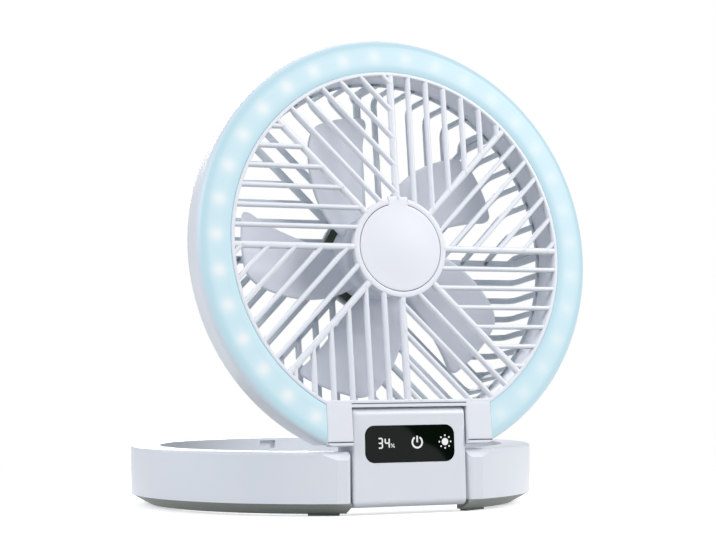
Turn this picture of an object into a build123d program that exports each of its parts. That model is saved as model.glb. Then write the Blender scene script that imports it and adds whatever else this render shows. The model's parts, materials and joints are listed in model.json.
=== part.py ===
from build123d import *
import os
from math import asin, cos, degrees, radians, sin, sqrt, tan

os.makedirs("parts", exist_ok=True)

# Folding camping fan: a round fan head with a ring light, hinged to a ring-shaped base.
# Units are millimetres. Z is up, the fan blows towards -Y, and Z = 0 is the table.
# The head is drawn lying on its back, face up, with its hub at the origin and its face at Z = 0,
# so a depth below the face is a negative Z. stand_up() then lifts it to its place at rest.

# ---------------------------------------------------------------- head: outline and shells
head_radius = 110.0
head_depth = 20.6
chin_cut = 10.7             # from the head's round edge in to its flat lower edge
chin_lip_step = 1.7         # how far the lip along that edge stands out beyond it
chin_lip = 1.9              # height of the lip that shows below the chin panel
chin_lip_depth = 6.0
notch_lip_step = 1.4        # how far the lip over the hinge block hangs below the notch's ceiling
notch_lip_depth = 3.0
face_width = 19.4           # face of the head, from its round edge in to the air opening
opening_cut = 12.5          # from the air opening's round edge in to its flat lower edge
notch_web = 2.3             # between the air opening and the notch that the hinge block fills
block_width = 63.2
notch_gap = 0.6             # between the hinge block and each ear of the head
ear_width = 13.9            # each ear, from the notch to the end of the ring light
shell_wall = 2.2
back_wall = 2.0
housing_height = 6.2        # rear housing, from its seam with the middle frame to its back
rear_round = 6.0            # rounding of the head's back edge
opening_wall = 1.9

# ---------------------------------------------------------------- ring light
lens_thickness = 2.0
lens_skirt_depth = 4.5
lens_shoulder = 3.4
lens_gap = 0.25             # seam between the lens and the rim of the air opening
lens_ledge = 1.6
seam_gap = 0.1
light_web_depth = 6.0
light_web_thickness = 1.5
board_thickness = 1.2
led_count = 30
led_end_gap = 6.0           # end of the C-shaped lens to its last lamp
led_size = 3.2
led_height = 0.9
led_board_margin = 0.4

# ---------------------------------------------------------------- front grille and hub cap
grille_depth = 3.0
rib_count = 8
rib_width = 3.4
bar_width = 2.4
bar_pitch = 10.2
bar_round = 0.9
hub_ring_radius = 25.9
hub_rim = 3.3               # ring that shows round the hub cap
hub_cap_thickness = 1.5
hub_cap_gap = 0.3
hub_tab_width = 11.0
hub_tab_step = 0.7          # how far the cap's tab reaches beyond the hub ring
hub_floor_depth = 3.0
chin_panel_thickness = 2.0
chin_edge_break = 0.5

# ---------------------------------------------------------------- rear cage
cage_step = 0.8             # how much wider the cage is than the air opening
cage_notch_gap = 0.5
cage_wall = 2.2
cage_depth = 45.6
cage_corner = 5.5
cage_flange_thickness = 1.6
cage_flange_reach = 3.6     # how far the clamped flange stands out from the cage
cage_hole_gap = 0.4         # between the cage and the hole that it stands through
cage_hub_thickness = 2.4
cage_hub_rim = 2.0          # the cage's hub, beyond the motor's base
rear_rib_width = 4.0
rear_bar_width = 3.2

# ---------------------------------------------------------------- motor
shaft_radius = 1.5
running_gap = 0.03
bearing_radius = 4.0
bearing_length = 3.0
tube_radius = 5.6
tube_floor = 1.4
motor_base_radius = 24.0
motor_base_thickness = 1.6
motor_board_rim = 2.2       # how far the board stands out round the motor's base
motor_board_thickness = 1.6
stator_radius = 16.8
stator_height = 7.0
stator_teeth = 9
tooth_width = 3.4
tooth_tip_width = 9.0
tooth_tip_height = 1.6
stator_core_radius = 8.4
coil_build = 1.2
coil_gap = 1.0              # room along a tooth before its coil and its neighbours' begin to part
air_gap = 0.6
motor_gap = 0.8             # axial clearance between the rotor and what stands still
magnet_thickness = 1.9
cup_wall = 1.3
tube_tip = 1.0              # how far the bearing tube stands out of the stator
shaft_reach = 3.0           # how far the shaft runs past the rotor cup, into the impeller
clip_radius = 3.2
clip_thickness = 0.8
clip_gap = 0.3
motor_screw_count = 3
motor_screw_edge = 3.5      # screws, in from the edge of the motor's base
motor_screw_length = 2.7

# ---------------------------------------------------------------- impeller
blade_count = 5
blade_first_angle = 159.1   # where the first blade's leading corner stands at rest
blade_tip_gap = 13.2        # between the blades' tips and the inside of the cage
blade_thickness = 2.0
blade_setback = 1.6         # the blades' back corners, in front of the hub's open end
blade_span_depth = 12.0     # from the blades' back corners to their front corners
blade_tip_sweep = 31.3      # degrees of arc that the blade spans near its tip
blade_root_lead = 9.8       # degrees by which the root's leading edge lags the tip's
blade_root_sweep = 68.7
blade_lead_corner = 3.0
blade_trail_corner = 6.0
blade_lead_curve = 0.65     # how quickly the leading edge falls back from its corner
blade_trail_curve = 1.03    # how quickly the trailing edge spreads towards the hub
blade_camber = 0.35         # extra rise at mid chord, as a share of the blade's rise
blade_overshoot = 0.12      # the sheet that blades are cut from runs this share past their edges
sheet_rows = 7              # points across the sheet, each way
outline_shares = (0, 0.3, 0.6, 0.82, 1)
impeller_nose = 1.9         # front wall of the hub, ahead of the shaft's end
impeller_hub_round = 3.0
impeller_skin = 1.6

# ---------------------------------------------------------------- hinge
tilt_at_rest = 6.8
hinge_depth = 10.4          # hinge axis below the head's face
hinge_clearance = 11.0      # hinge axis to the ceiling of the notch
fold_gap = 1.1              # between the folded head's back and the ring
pin_radius = 2.5
pin_bore_radius = 1.3
pin_gap = 0.05
pin_head_radius = 4.4
pin_head_thickness = 1.8
ear_boss_radius = 3.9
ear_boss_length = 2.8
washer_radius = 4.6
washer_thickness = 0.8
washer_gap = 0.1
nut_radius = 4.3
nut_thickness = 2.2
nut_sides = 6

# ---------------------------------------------------------------- ring base
ring_setback = 0.5          # the ring's round edge, in from the head's
ring_room = 2.8             # round the cage, where it folds down into the ring
ring_front_step = 0.6       # flat front of the two arms, beyond the folded head's lip
ring_top = 32.2
ring_seam = 6.5             # height of the seam between the upper shell and the tray
ring_wall = 1.8
arm_gap = 1.0               # between the hinge block and each arm of the ring
arm_bevel = 4.1
arm_corner = 3.0
ring_edge_round = 1.2
foot_setback = 10.0         # the tray's flat underside, in from the ring's round edge
tray_bottom = 1.0
tray_thickness = 1.8
latch_width = 9.8
latch_height = 4.6
latch_below_top = 1.4
latch_depth = 2.5
latch_wall = 1.2
pad_bottom = 0.0
pad_length = 16.0
pad_margin = 0.35
pad_recess = 0.8
pad_angles = (-115.7, -64.3, 55.0, 125.0)
back_screw_angle = 26.0     # the two screws at the back, each side of the socket
cells_each_side = 3
cell_thickness = 9.0
cell_height = 20.0
cell_round = 2.0
cell_seat_gap = 0.2
cell_end_gap = 0.3          # between a cell's outer corners and the ring's outer wall
cell_screw_gap = 0.9

# ---------------------------------------------------------------- hinge block and display
block_front_top = 8.4       # hinge axis to the block's front face, at its top
block_front_bottom = 10.3
block_back = 10.4
block_bottom = 3.9
block_top_round = 4.0
block_foot_round = 3.5
block_end_round = 1.2       # edges of the block's two end faces
block_wall = 2.2
block_seam = 4.6            # seam between the two block covers, behind the hinge axis
window_side = 6.6           # window's edge, in from the block's end
window_height = 18.6
window_corner = 5.0
window_thickness = 1.6
window_below_top = 18.35    # window's centre, below the block's top
window_gap = 0.1
window_ledge = 1.6
display_board_margin = 2.0
digit_module_width = 17.0
digit_module_height = 11.0
digit_module_thickness = 3.4
digit_module_edge = 3.1     # digit module, in from the window's left edge
bridge_height = 3.0
bridge_bottom = 6.2
bridge_front = 6.0
bridge_back = 6.4

# ---------------------------------------------------------------- charging socket and screws
socket_width = 8.9
socket_height = 3.2
socket_length = 7.3
socket_wall = 0.3
socket_gap = 0.25
socket_tongue_width = 6.6
socket_tongue_height = 0.7
socket_tongue_setback = 1.2
socket_height_above_table = 15.0
control_board_width = 34.0
control_board_height = 17.0
screw_radius = 1.1
screw_head_radius = 2.2
screw_head_height = 1.2
screw_gap = 0.15
screw_boss_radius = 2.7
head_screw_length = 9.0
base_screw_length = 10.0
head_screw_angles = (22.5, 67.5, 112.5, 157.5, 202.5, -22.5)

# ---------------------------------------------------------------- places worked out from the sizes
opening_radius = head_radius - face_width
opening_drop = opening_radius - opening_cut
notch_drop = opening_drop + notch_web
notch_lip_drop = notch_drop + notch_lip_step
chin_drop = head_radius - chin_cut
chin_lip_drop = chin_drop + chin_lip_step
frame_depth = head_depth - housing_height
half_block = block_width / 2
half_notch = half_block + notch_gap
half_arm = half_block + arm_gap
lens_gap_width = 2 * (half_notch + ear_width)
light_radius = (head_radius - shell_wall + opening_radius + opening_wall + lens_ledge) / 2
hub_cap_radius = hub_ring_radius - hub_rim
hub_tab_reach = hub_ring_radius + hub_tab_step

cage_radius = opening_radius + cage_step
cage_drop = notch_drop - cage_notch_gap
cage_flange_depth = head_depth - back_wall - cage_flange_thickness
cage_flange_radius = cage_radius + cage_flange_reach
rear_hole_radius = cage_radius + cage_hole_gap
cage_hub_radius = motor_base_radius + cage_hub_rim
motor_board_radius = motor_base_radius + motor_board_rim
motor_screw_circle = motor_base_radius - motor_screw_edge
cup_radius = stator_radius + air_gap + magnet_thickness + cup_wall
impeller_hub_radius = cup_radius + impeller_skin
blade_tip_radius = cage_radius - cage_wall - blade_tip_gap

hinge_drop = notch_drop + hinge_clearance
hinge_height = ring_top + fold_gap + head_depth - hinge_depth
hinge_from_hub = hinge_depth * cos(radians(tilt_at_rest)) - hinge_drop * sin(radians(tilt_at_rest))
hub_from_ring = hinge_drop + hinge_from_hub
front_reach = hub_from_ring + (chin_lip_drop - chin_edge_break) * sin(radians(tilt_at_rest))
ring_outer_radius = head_radius - ring_setback
ring_inner_radius = cage_radius + ring_room
ring_front = chin_lip_drop + ring_front_step
ring_y = (front_reach - ring_outer_radius) / 2
hinge_y = ring_y - hinge_drop
foot_radius = ring_outer_radius - foot_setback
foot_middle_radius = (foot_radius + ring_inner_radius) / 2
pad_width = foot_radius - ring_inner_radius - 2 * pad_margin
cell_inner = ring_inner_radius + ring_wall + cell_seat_gap
cell_reach = ring_outer_radius - ring_wall - cell_end_gap
cell_length = 2 * sqrt(cell_reach ** 2 - (cell_inner + cell_thickness) ** 2)
block_top = hinge_height + hinge_depth
window_width = block_width - 2 * window_side
window_centre_height = block_top - window_below_top
overlap = 1.0               # how far cutting tools run past a face
hair = 0.05                 # keeps a rounding just short of a full half circle


# ---------------------------------------------------------------- helpers
standing = (Align.CENTER, Align.CENTER, Align.MIN)


def stand_up(part):
    """Move a piece of the head from lying face up to its tilted place over the base."""
    hinge = Vector(0, hinge_y, hinge_height)
    folded = Pos(0, ring_y, block_top) * part
    return Pos(*hinge) * Rot(90 - tilt_at_rest, 0, 0) * Pos(*-hinge) * folded


def above(level, reach=400):
    """The half plane above a level line, as a large rectangle."""
    return Pos(0, level + reach / 2) * Rectangle(reach, reach)


def layer(sketch, bottom, top):
    """A flat drawing made solid between two heights."""
    return extrude(Pos(0, 0, bottom) * sketch, amount=top - bottom)


def cylinder(radius, bottom, top):
    return Pos(0, 0, bottom) * Cylinder(radius, top - bottom, align=standing)


def tube(outer, inner, bottom, top):
    return cylinder(outer, bottom, top) - cylinder(inner, bottom - overlap, top + overlap)


def block(x_size, y_size, bottom, top):
    return Pos(0, 0, bottom) * Box(x_size, y_size, top - bottom, align=standing)


def around(part, angles, radius):
    """Copies of a piece drawn at the origin, moved out by a radius and turned to each angle."""
    return [Rot(0, 0, angle) * Pos(radius, 0, 0) * part for angle in angles]


def both_sides(part):
    """The same piece on the right and, mirrored, on the left."""
    return [part, mirror(part, about=Plane.YZ)]


def save(pieces, node, colour):
    """Write one sub-part, as a single solid or as a group of separate solids."""
    loose = [solid for item in pieces for solid in item.solids()]
    shape = loose[0] if len(loose) == 1 else Compound(children=loose)
    shape.label = node
    shape.color = Color(*colour)
    export_step(shape, f"parts/{node}.step")


# ---------------------------------------------------------------- outlines of the head
def notch(inset=0.0):
    half_width = half_notch + inset
    top = notch_drop - inset
    height = chin_drop - top + 2 * overlap
    return Pos(0, -(top + chin_drop) / 2 - overlap) * Rectangle(2 * half_width, height)


def head_disc(inset=0.0):
    return Circle(head_radius - inset) & above(-(chin_drop - inset))


def head_outline(inset=0.0):
    return head_disc(inset) - notch(inset)


def opening_outline(outset=0.0, radius=opening_radius, drop=opening_drop):
    return Circle(radius + outset) & above(-(drop + outset))


def chin_window(inset=0.0):
    """The part of the face that the chin takes out of the light ring."""
    depth = head_radius
    return Pos(0, -depth / 2) * Rectangle(lens_gap_width - 2 * inset, depth)


# ---------------------------------------------------------------- head: light
def light_ring(outer, inner, end_gap):
    return Circle(outer) - Circle(inner) - chin_window(-end_gap)


def light_diffuser():
    outer = head_radius - seam_gap
    inner = opening_radius + opening_wall + lens_gap
    skirt_inner = outer - shell_wall
    with BuildPart() as lens:
        with BuildSketch(Plane.XZ):
            with BuildLine():
                Line((inner, 0), (outer - lens_shoulder, 0))
                RadiusArc((outer - lens_shoulder, 0), (outer, -lens_shoulder), lens_shoulder)
                Line((outer, -lens_shoulder), (outer, -lens_skirt_depth))
                Line((outer, -lens_skirt_depth), (skirt_inner, -lens_skirt_depth))
                Line((skirt_inner, -lens_skirt_depth), (skirt_inner, -lens_thickness))
                Line((skirt_inner, -lens_thickness), (inner, -lens_thickness))
                Line((inner, -lens_thickness), (inner, 0))
            make_face()
        revolve(axis=Axis.Z)
    window = layer(chin_window(-seam_gap), -2 * lens_skirt_depth, overlap)
    return lens.part - window


def led_board():
    outer = head_radius - shell_wall - led_board_margin
    inner = opening_radius + opening_wall + lens_ledge + led_board_margin
    return layer(light_ring(outer, inner, shell_wall + led_board_margin),
                 -light_web_depth, -light_web_depth + board_thickness)


def led_angles():
    """Lamps spread evenly round the C, from one end of the lens to the other."""
    end_angle = degrees(asin((lens_gap_width / 2 + led_end_gap) / light_radius))
    pitch = (360 - 2 * end_angle) / (led_count - 1)
    return [-90 + end_angle + pitch * index for index in range(led_count)]


def led_chips():
    seat = -light_web_depth + board_thickness
    chip = block(led_size, led_size, seat, seat + led_height)
    return around(chip, led_angles(), light_radius)


# ---------------------------------------------------------------- head: swirl of bars
def swirl_bars(rim_radius, hub_radius, rib, thin):
    """Bars of the swirl: angle of the rib, offset to its clockwise side, start, end and width."""
    lines = []
    step = 360 / rib_count
    for index in range(rib_count):
        angle = 90 - index * step
        lines.append((angle, 0.0, hub_radius, rim_radius, rib))
        offset = bar_pitch
        while offset < rim_radius * sin(radians(step)):
            at_next_rib = offset / sin(radians(step)) * cos(radians(step))
            at_hub = sqrt(max(hub_radius ** 2 - offset ** 2, 0))
            end = sqrt(rim_radius ** 2 - offset ** 2)
            lines.append((angle, offset, max(at_next_rib, at_hub), end, thin))
            offset += bar_pitch
    return lines


def rounded_bar(angle, offset, start, end, width):
    """One grille bar with its front edges rounded, lying along its rib's direction."""
    section = Rectangle(width, grille_depth, align=(Align.CENTER, Align.MAX))
    front_corners = section.vertices().group_by(Axis.Y)[-1]
    section = fillet(front_corners, bar_round)
    length = end - start
    bar = extrude(Plane.YZ * section, amount=length)
    return Rot(0, 0, angle) * Pos(start, -offset, 0) * bar


def front_grille():
    rim = layer(opening_outline(opening_wall) - opening_outline(), -grille_depth, 0)
    hub = cylinder(hub_ring_radius, -hub_floor_depth - hub_cap_thickness, 0)
    rim_radius = opening_radius + overlap / 2
    lines = swirl_bars(rim_radius, hub_ring_radius - overlap, rib_width, bar_width)
    bars = [rounded_bar(*line) for line in lines]
    inside = layer(opening_outline(overlap / 2), -grille_depth, 0)
    swirl = (Part() + bars) & inside
    chin = head_outline() - opening_outline(opening_wall - overlap / 2)
    chin_plate = layer(chin & chin_window(seam_gap), -chin_panel_thickness, 0) - chin_lips(seam_gap)
    grille = Part() + [rim, hub, chin_plate] + swirl.solids()
    return grille - cap_recess() - chin_lips(seam_gap)


def chin_lips(gap=0.0):
    """Edges of the middle frame that come forward to the face: under both ears and over the notch."""
    lip_width = lens_gap_width - 2 * seam_gap
    under = below_hub(lip_width, chin_lip_drop - chin_lip - gap, chin_lip_drop) & Circle(head_radius)
    under = layer(under - notch(), -chin_panel_thickness, 0)
    under_seat = below_hub(lip_width, chin_drop - shell_wall, chin_lip_drop) & Circle(head_radius)
    under_seat = layer(under_seat - notch(), -chin_lip_depth, -chin_panel_thickness)
    notch_width = 2 * (half_notch + overlap)
    over = below_hub(notch_width, opening_drop + opening_wall - gap, notch_lip_drop)
    over = layer(over, -notch_lip_depth, 0)
    over_seat = below_hub(notch_width, opening_drop, notch_lip_drop)
    over_seat = layer(over_seat, -notch_lip_depth, -chin_panel_thickness)
    return [under, under_seat, over, over_seat]


def below_hub(width, start, end):
    """A flat strip across the head, from one distance below the hub to another."""
    return Pos(0, -(start + end) / 2) * Rectangle(width, end - start)


def cap_outline(gap):
    disc = Circle(hub_cap_radius + gap)
    tab_base = hub_cap_radius / 2
    tab_end = hub_tab_reach + gap
    tab = Rectangle(hub_tab_width + 2 * gap, tab_end - tab_base)
    return disc + Pos(0, (tab_end + tab_base) / 2) * tab


def cap_recess():
    return layer(cap_outline(hub_cap_gap), -hub_cap_thickness, overlap)


def hub_cap():
    return layer(cap_outline(0), -hub_cap_thickness, 0)


# ---------------------------------------------------------------- head: middle frame and rear housing
def hinge_rod(radius, start, end):
    """A cylinder on the hinge axis, in the head's own frame, from one X to another."""
    return Pos(start, -hinge_drop, -hinge_depth) * Rot(0, 90, 0) * cylinder(radius, 0, end - start)


def head_frame():
    side = layer(head_outline() - head_outline(shell_wall), -frame_depth, -lens_skirt_depth)
    chin_area = chin_window(0) & above(-chin_drop)
    chin_side = (head_outline() - head_outline(shell_wall)) & chin_area
    chin_walls = layer(chin_side, -frame_depth, -chin_panel_thickness)
    inner_wall = layer(opening_outline(opening_wall) - opening_outline(), -cage_flange_depth, -grille_depth)
    ledge = opening_outline(opening_wall + lens_ledge) - opening_outline()
    ledge_wall = layer(ledge & head_outline(), -light_web_depth - light_web_thickness, -lens_thickness)
    web = layer(head_outline(overlap / 2) - opening_outline(overlap / 2),
                -light_web_depth - light_web_thickness, -light_web_depth)
    channel_ends = (chin_window(0) - chin_window(shell_wall)) & (head_outline() - opening_outline())
    chin_corner = above(-chin_drop) & Pos(0, -chin_drop) * Rectangle(4 * half_notch, chin_drop)
    end_walls = layer(channel_ends & chin_corner, -light_web_depth, -chin_panel_thickness)
    ear_area = (head_outline(shell_wall) - opening_outline(opening_wall + overlap)) & chin_window(shell_wall)
    ear_room = layer(ear_area, -frame_depth - overlap, -chin_panel_thickness - overlap)
    bosses = both_sides(hinge_rod(ear_boss_radius, half_notch + overlap, half_notch + shell_wall + ear_boss_length))
    screw_boss = cylinder(screw_boss_radius, -head_depth + back_wall, -light_web_depth)
    screw_bosses = around(screw_boss, head_screw_angles, light_radius)
    frame = Part() + [side, chin_walls, inner_wall, ledge_wall, web, end_walls]
    frame = frame - ear_room + bosses + screw_bosses
    bores = both_sides(hinge_rod(pin_radius + pin_gap, half_notch - overlap, head_radius / 2))
    pilot = cylinder(screw_radius - screw_gap, -head_depth, -head_depth + back_wall + head_screw_length)
    frame = frame - bores - around(pilot, head_screw_angles, light_radius)
    frame = frame - layer(notch(), -head_depth, 0) - layer(opening_outline(opening_wall), -grille_depth, 0)
    frame = frame + chin_lips()
    lip_edges = frame.edges().filter_by(Axis.X).group_by(Axis.Z)[-1]
    lowest = [edge for edge in lip_edges if edge.center().Y < -chin_lip_drop + overlap / 2]
    return fillet(lowest, chin_edge_break)


def rounded_cup(radius, drop, bottom, top, rounding):
    """A disc with one flat side, below the hub, and its back edge rounded all the way round."""
    half = make_face(Polyline((0, bottom), (radius, bottom), (radius, top), (0, top), close=True))
    half = fillet(half.vertices().sort_by_distance((radius, bottom, 0))[0], rounding)
    side = make_face(Polyline((-drop, bottom), (radius, bottom), (radius, top), (-drop, top), close=True))
    side = fillet(side.vertices().sort_by_distance((-drop, bottom, 0))[0], rounding)
    return revolve(Plane.XZ * half, Axis.Z) & extrude(Plane.YZ * side, amount=radius, both=True)


def rear_shell(inset):
    """The rounded back of the head, shrunk evenly by an inset."""
    top = -frame_depth + (overlap if inset else 0)
    rounding = min(rear_round, housing_height - hair) - inset
    return rounded_cup(head_radius - inset, chin_drop - inset, -head_depth + inset, top, rounding)


def rear_housing():
    outer = rear_shell(0) - layer(notch(), -head_depth - overlap, 0)
    walls = layer(notch(shell_wall), -head_depth - overlap, 0)
    rear_hole = opening_outline(0, rear_hole_radius, notch_drop)
    hole = layer(rear_hole, -head_depth - overlap, 0)
    screw_hole = cylinder(screw_radius + screw_gap, -head_depth - overlap, 0)
    head_seat = -head_depth + screw_head_height
    counterbore = cylinder(screw_head_radius + screw_gap, -head_depth - overlap, head_seat)
    shell = outer - (rear_shell(back_wall) - walls) - hole
    return shell - around(screw_hole + counterbore, head_screw_angles, light_radius)


def head_screws():
    seat = -head_depth + screw_head_height
    screw = cylinder(screw_head_radius, -head_depth, seat)
    screw += cylinder(screw_radius - screw_gap, seat, seat + head_screw_length)
    return around(screw, head_screw_angles, light_radius)


# ---------------------------------------------------------------- head: rear cage
def cage_body(inset):
    """The cup that the cage's bars follow, shrunk evenly by an inset."""
    return rounded_cup(cage_radius - inset, cage_drop - inset, -cage_depth + inset, -cage_flange_depth,
                       cage_corner - inset)


def rear_cage():
    mouth = opening_outline(-cage_wall, cage_radius, cage_drop)
    cup = cage_body(0) - cage_body(cage_wall)
    plates = []
    lines = swirl_bars(cage_radius, cage_hub_radius, rear_rib_width, rear_bar_width)
    for angle, offset, start, end, width in lines:
        plate = block(end - start + overlap, width, -cage_depth, -cage_flange_depth)
        plates.append(Rot(0, 0, angle) * Pos((start + end + overlap) / 2, -offset, 0) * plate)
    bars = cup & (Part() + plates)
    flange_outline = opening_outline(0, cage_flange_radius, notch_drop) - mouth
    flange = layer(flange_outline, -cage_flange_depth - cage_flange_thickness, -cage_flange_depth)
    hub = cylinder(cage_hub_radius + overlap, -cage_depth, -cage_depth + cage_hub_thickness)
    cage = Part() + [flange, hub] + bars.solids()
    hole = cylinder(screw_radius + screw_gap, -cage_depth - overlap, 0)
    head_seat = -cage_depth + screw_head_height
    counterbore = cylinder(screw_head_radius + screw_gap, -cage_depth - overlap, head_seat)
    return cage - around(hole + counterbore, motor_screw_angles(), motor_screw_circle)


# ---------------------------------------------------------------- motor
def motor_screw_angles():
    return [90 + 360 / motor_screw_count * index for index in range(motor_screw_count)]


def motor_levels():
    """Heights of the motor's stack: cage plate, base, board, stator, top of the stator."""
    plate = -cage_depth + cage_hub_thickness
    base = plate + motor_base_thickness
    board = base + motor_board_thickness
    stator = board + motor_gap + coil_build
    return plate, base, board, stator, stator + stator_height


def cup_levels():
    """Open end and closed end of the rotor cup."""
    _, _, board, _, stator_top = motor_levels()
    return board + motor_gap, stator_top + coil_build + motor_gap + cup_wall


def bearing_levels():
    plate, _, _, _, stator_top = motor_levels()
    rear = plate + tube_floor + clip_gap + clip_thickness + clip_gap
    return rear, stator_top + tube_tip - bearing_length


def motor_base():
    plate, base, _, _, stator_top = motor_levels()
    body = cylinder(motor_base_radius, plate, base) + cylinder(tube_radius, plate, stator_top + tube_tip)
    body -= cylinder(bearing_radius, plate + tube_floor, 0)
    pilot = cylinder(screw_radius - screw_gap, plate - overlap, base + overlap)
    return body - around(pilot, motor_screw_angles(), motor_screw_circle)


def motor_board():
    _, base, board, _, _ = motor_levels()
    return tube(motor_board_radius, tube_radius, base, board)


def stator_core():
    _, _, _, stator, stator_top = motor_levels()
    root = stator_core_radius / 2
    reach = stator_radius - tooth_tip_height - root
    tooth = Pos(root + reach / 2) * Rectangle(reach + tooth_tip_height, tooth_width)
    tip = Pos(stator_radius - tooth_tip_height / 2) * Rectangle(2 * tooth_tip_height, tooth_tip_width)
    tip = tip & (Circle(stator_radius) - Circle(stator_radius - tooth_tip_height))
    teeth = [Rot(0, 0, 360 / stator_teeth * index) * (tooth + tip) for index in range(stator_teeth)]
    outline = (Sketch() + [Circle(stator_core_radius)] + teeth) - Circle(tube_radius)
    return layer(outline, stator, stator_top)


def stator_coils():
    _, _, _, stator, stator_top = motor_levels()
    wide = tooth_width + 2 * coil_build
    where_coils_meet = wide / 2 / tan(radians(180 / stator_teeth))
    inner = max(stator_core_radius + coil_build / 2, where_coils_meet + coil_gap)
    length = stator_radius - tooth_tip_height - inner - coil_build / 2
    coil = Pos(length / 2, 0, 0) * block(length, wide, stator - coil_build, stator_top + coil_build)
    hole = Pos(length / 2, 0, 0) * block(length + overlap, tooth_width, stator, stator_top)
    angles = [360 / stator_teeth * index for index in range(stator_teeth)]
    return around(coil - hole, angles, inner)


def bearing(bottom):
    return tube(bearing_radius, shaft_radius + running_gap, bottom, bottom + bearing_length)


def motor_shaft():
    rear, _ = bearing_levels()
    _, cup_top = cup_levels()
    return cylinder(shaft_radius, rear - clip_gap - clip_thickness, cup_top + shaft_reach)


def shaft_clip():
    rear, _ = bearing_levels()
    return tube(clip_radius, shaft_radius, rear - clip_gap - clip_thickness, rear - clip_gap)


def rotor_cup():
    bottom, top = cup_levels()
    shell = cylinder(cup_radius, bottom, top)
    room = cylinder(cup_radius - cup_wall, bottom - overlap, top - cup_wall)
    return shell - room - cylinder(shaft_radius, bottom, top + overlap)


def rotor_magnet():
    bottom, top = cup_levels()
    outer = cup_radius - cup_wall
    return tube(outer, outer - magnet_thickness, bottom, top - cup_wall)


def motor_screws():
    seat = -cage_depth + screw_head_height
    screw = cylinder(screw_head_radius, -cage_depth, seat)
    screw += cylinder(screw_radius - screw_gap, seat, seat + motor_screw_length)
    return around(screw, motor_screw_angles(), motor_screw_circle)


# ---------------------------------------------------------------- impeller
def lead_angle(radius):
    """Angle of a blade's leading edge past its tip corner, at a radius."""
    share = max((blade_tip_radius - radius) / (blade_tip_radius - impeller_hub_radius), 0)
    return blade_root_lead * share ** blade_lead_curve


def trail_angle(radius):
    share = max((blade_tip_radius - radius) / (blade_tip_radius - impeller_hub_radius), 0)
    return blade_tip_sweep + (blade_root_sweep - blade_tip_sweep) * share ** blade_trail_curve


def polar(radius, angle, height=0.0):
    return Vector(radius * cos(radians(angle)), radius * sin(radians(angle)), height)


def blade_outline():
    inner = impeller_hub_radius - impeller_skin / 2
    radii = [inner + (blade_tip_radius - inner) * share for share in outline_shares]
    leading = Spline(*[polar(radius, lead_angle(radius)) for radius in radii])
    trailing = Spline(*[polar(radius, trail_angle(radius)) for radius in radii])
    tip = ThreePointArc(leading @ 1, polar(blade_tip_radius, blade_tip_sweep / 2), trailing @ 1)
    root = Line(trailing @ 0, leading @ 0)
    outline = make_face([leading, tip, trailing, root])
    outline = fillet(tip_corners(outline)[0], blade_lead_corner)
    return fillet(tip_corners(outline)[-1], blade_trail_corner)


def tip_corners(outline):
    """Corners of a blade's outline that lie on its tip circle, leading corner first."""
    far = [corner for corner in outline.vertices() if Vector(corner).length > blade_tip_radius - overlap]
    return sorted(far, key=lambda corner: corner.Y)


def blade_sheet():
    """The twisted, slightly cambered surface that every blade is cut from."""
    rows = []
    inner = impeller_hub_radius / 2
    outer = blade_tip_radius * (1 + blade_overshoot)
    full_rise = blade_span_depth - blade_thickness
    back = cup_levels()[0] + blade_setback
    steps = [step / (sheet_rows - 1) for step in range(sheet_rows)]
    for out in steps:
        radius = inner + (outer - inner) * out
        row = []
        for along in steps:
            share = along * (1 + 2 * blade_overshoot) - blade_overshoot
            angle = lead_angle(radius) + share * (trail_angle(radius) - lead_angle(radius))
            rise = full_rise * (share + blade_camber * share * (1 - share))
            row.append(polar(radius, angle, back + blade_thickness + rise))
        rows.append(row)
    return Face.make_surface_from_array_of_points(rows)


def blade():
    sheet = blade_sheet()
    slab = thicken(sheet, amount=blade_thickness)
    return slab & layer(blade_outline(), -cage_depth, 0)


def impeller():
    bottom, cup_top = cup_levels()
    shaft_end = cup_top + shaft_reach
    hub = cylinder(impeller_hub_radius, bottom, shaft_end + impeller_nose)
    hub = fillet(hub.edges().group_by(Axis.Z)[-1], impeller_hub_round)
    one_blade = blade()
    angles = [blade_first_angle - 360 / blade_count * index for index in range(blade_count)]
    body = Part() + [hub] + [Rot(0, 0, angle) * one_blade for angle in angles]
    room = cylinder(cup_radius, bottom - overlap, cup_top)
    return body - room - cylinder(shaft_radius, bottom, shaft_end)


# ---------------------------------------------------------------- base: ring shells
def ring_outline(inset=0.0, outer=ring_outer_radius):
    ring = Circle(outer - inset) - Circle(ring_inner_radius + inset)
    front = above(-(ring_front - inset))
    room = Pos(0, -ring_front) * Rectangle(2 * (half_arm + inset), ring_front)
    return (ring & front) - room


def arm_end_corners(sketch):
    """The two vertical corners where the flat front meets the arms' ends."""
    return [corner for corner in sketch.vertices() if abs(abs(corner.X) - half_arm) < overlap / 2
            and corner.Y < -ring_front + overlap / 2]


def bevel_cutter(inset):
    """A long wedge that slopes the upper front edge of both arms."""
    front = -ring_front + inset
    top = ring_top - inset
    wedge = Polyline((front - overlap, top + overlap), (front + arm_bevel + overlap, top + overlap),
                     (front - overlap, top - arm_bevel - overlap), close=True)
    return extrude(Plane.YZ * make_face(wedge), amount=ring_outer_radius, both=True)


def latch_pocket(grow=0.0):
    """A blind slot in the inner wall at the back; grown, it is the wall round that slot."""
    top = ring_top - latch_below_top + grow
    front = ring_inner_radius - (0 if grow else overlap)
    depth = ring_inner_radius + latch_depth + grow - front
    pocket = block(latch_width + 2 * grow, depth, top - latch_height - 2 * grow, top)
    return Pos(0, front + depth / 2, 0) * pocket


def socket_outline(grow=0.0):
    height = socket_height + 2 * grow
    return RectangleRounded(socket_width + 2 * grow, height, height / 2 - hair)


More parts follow.
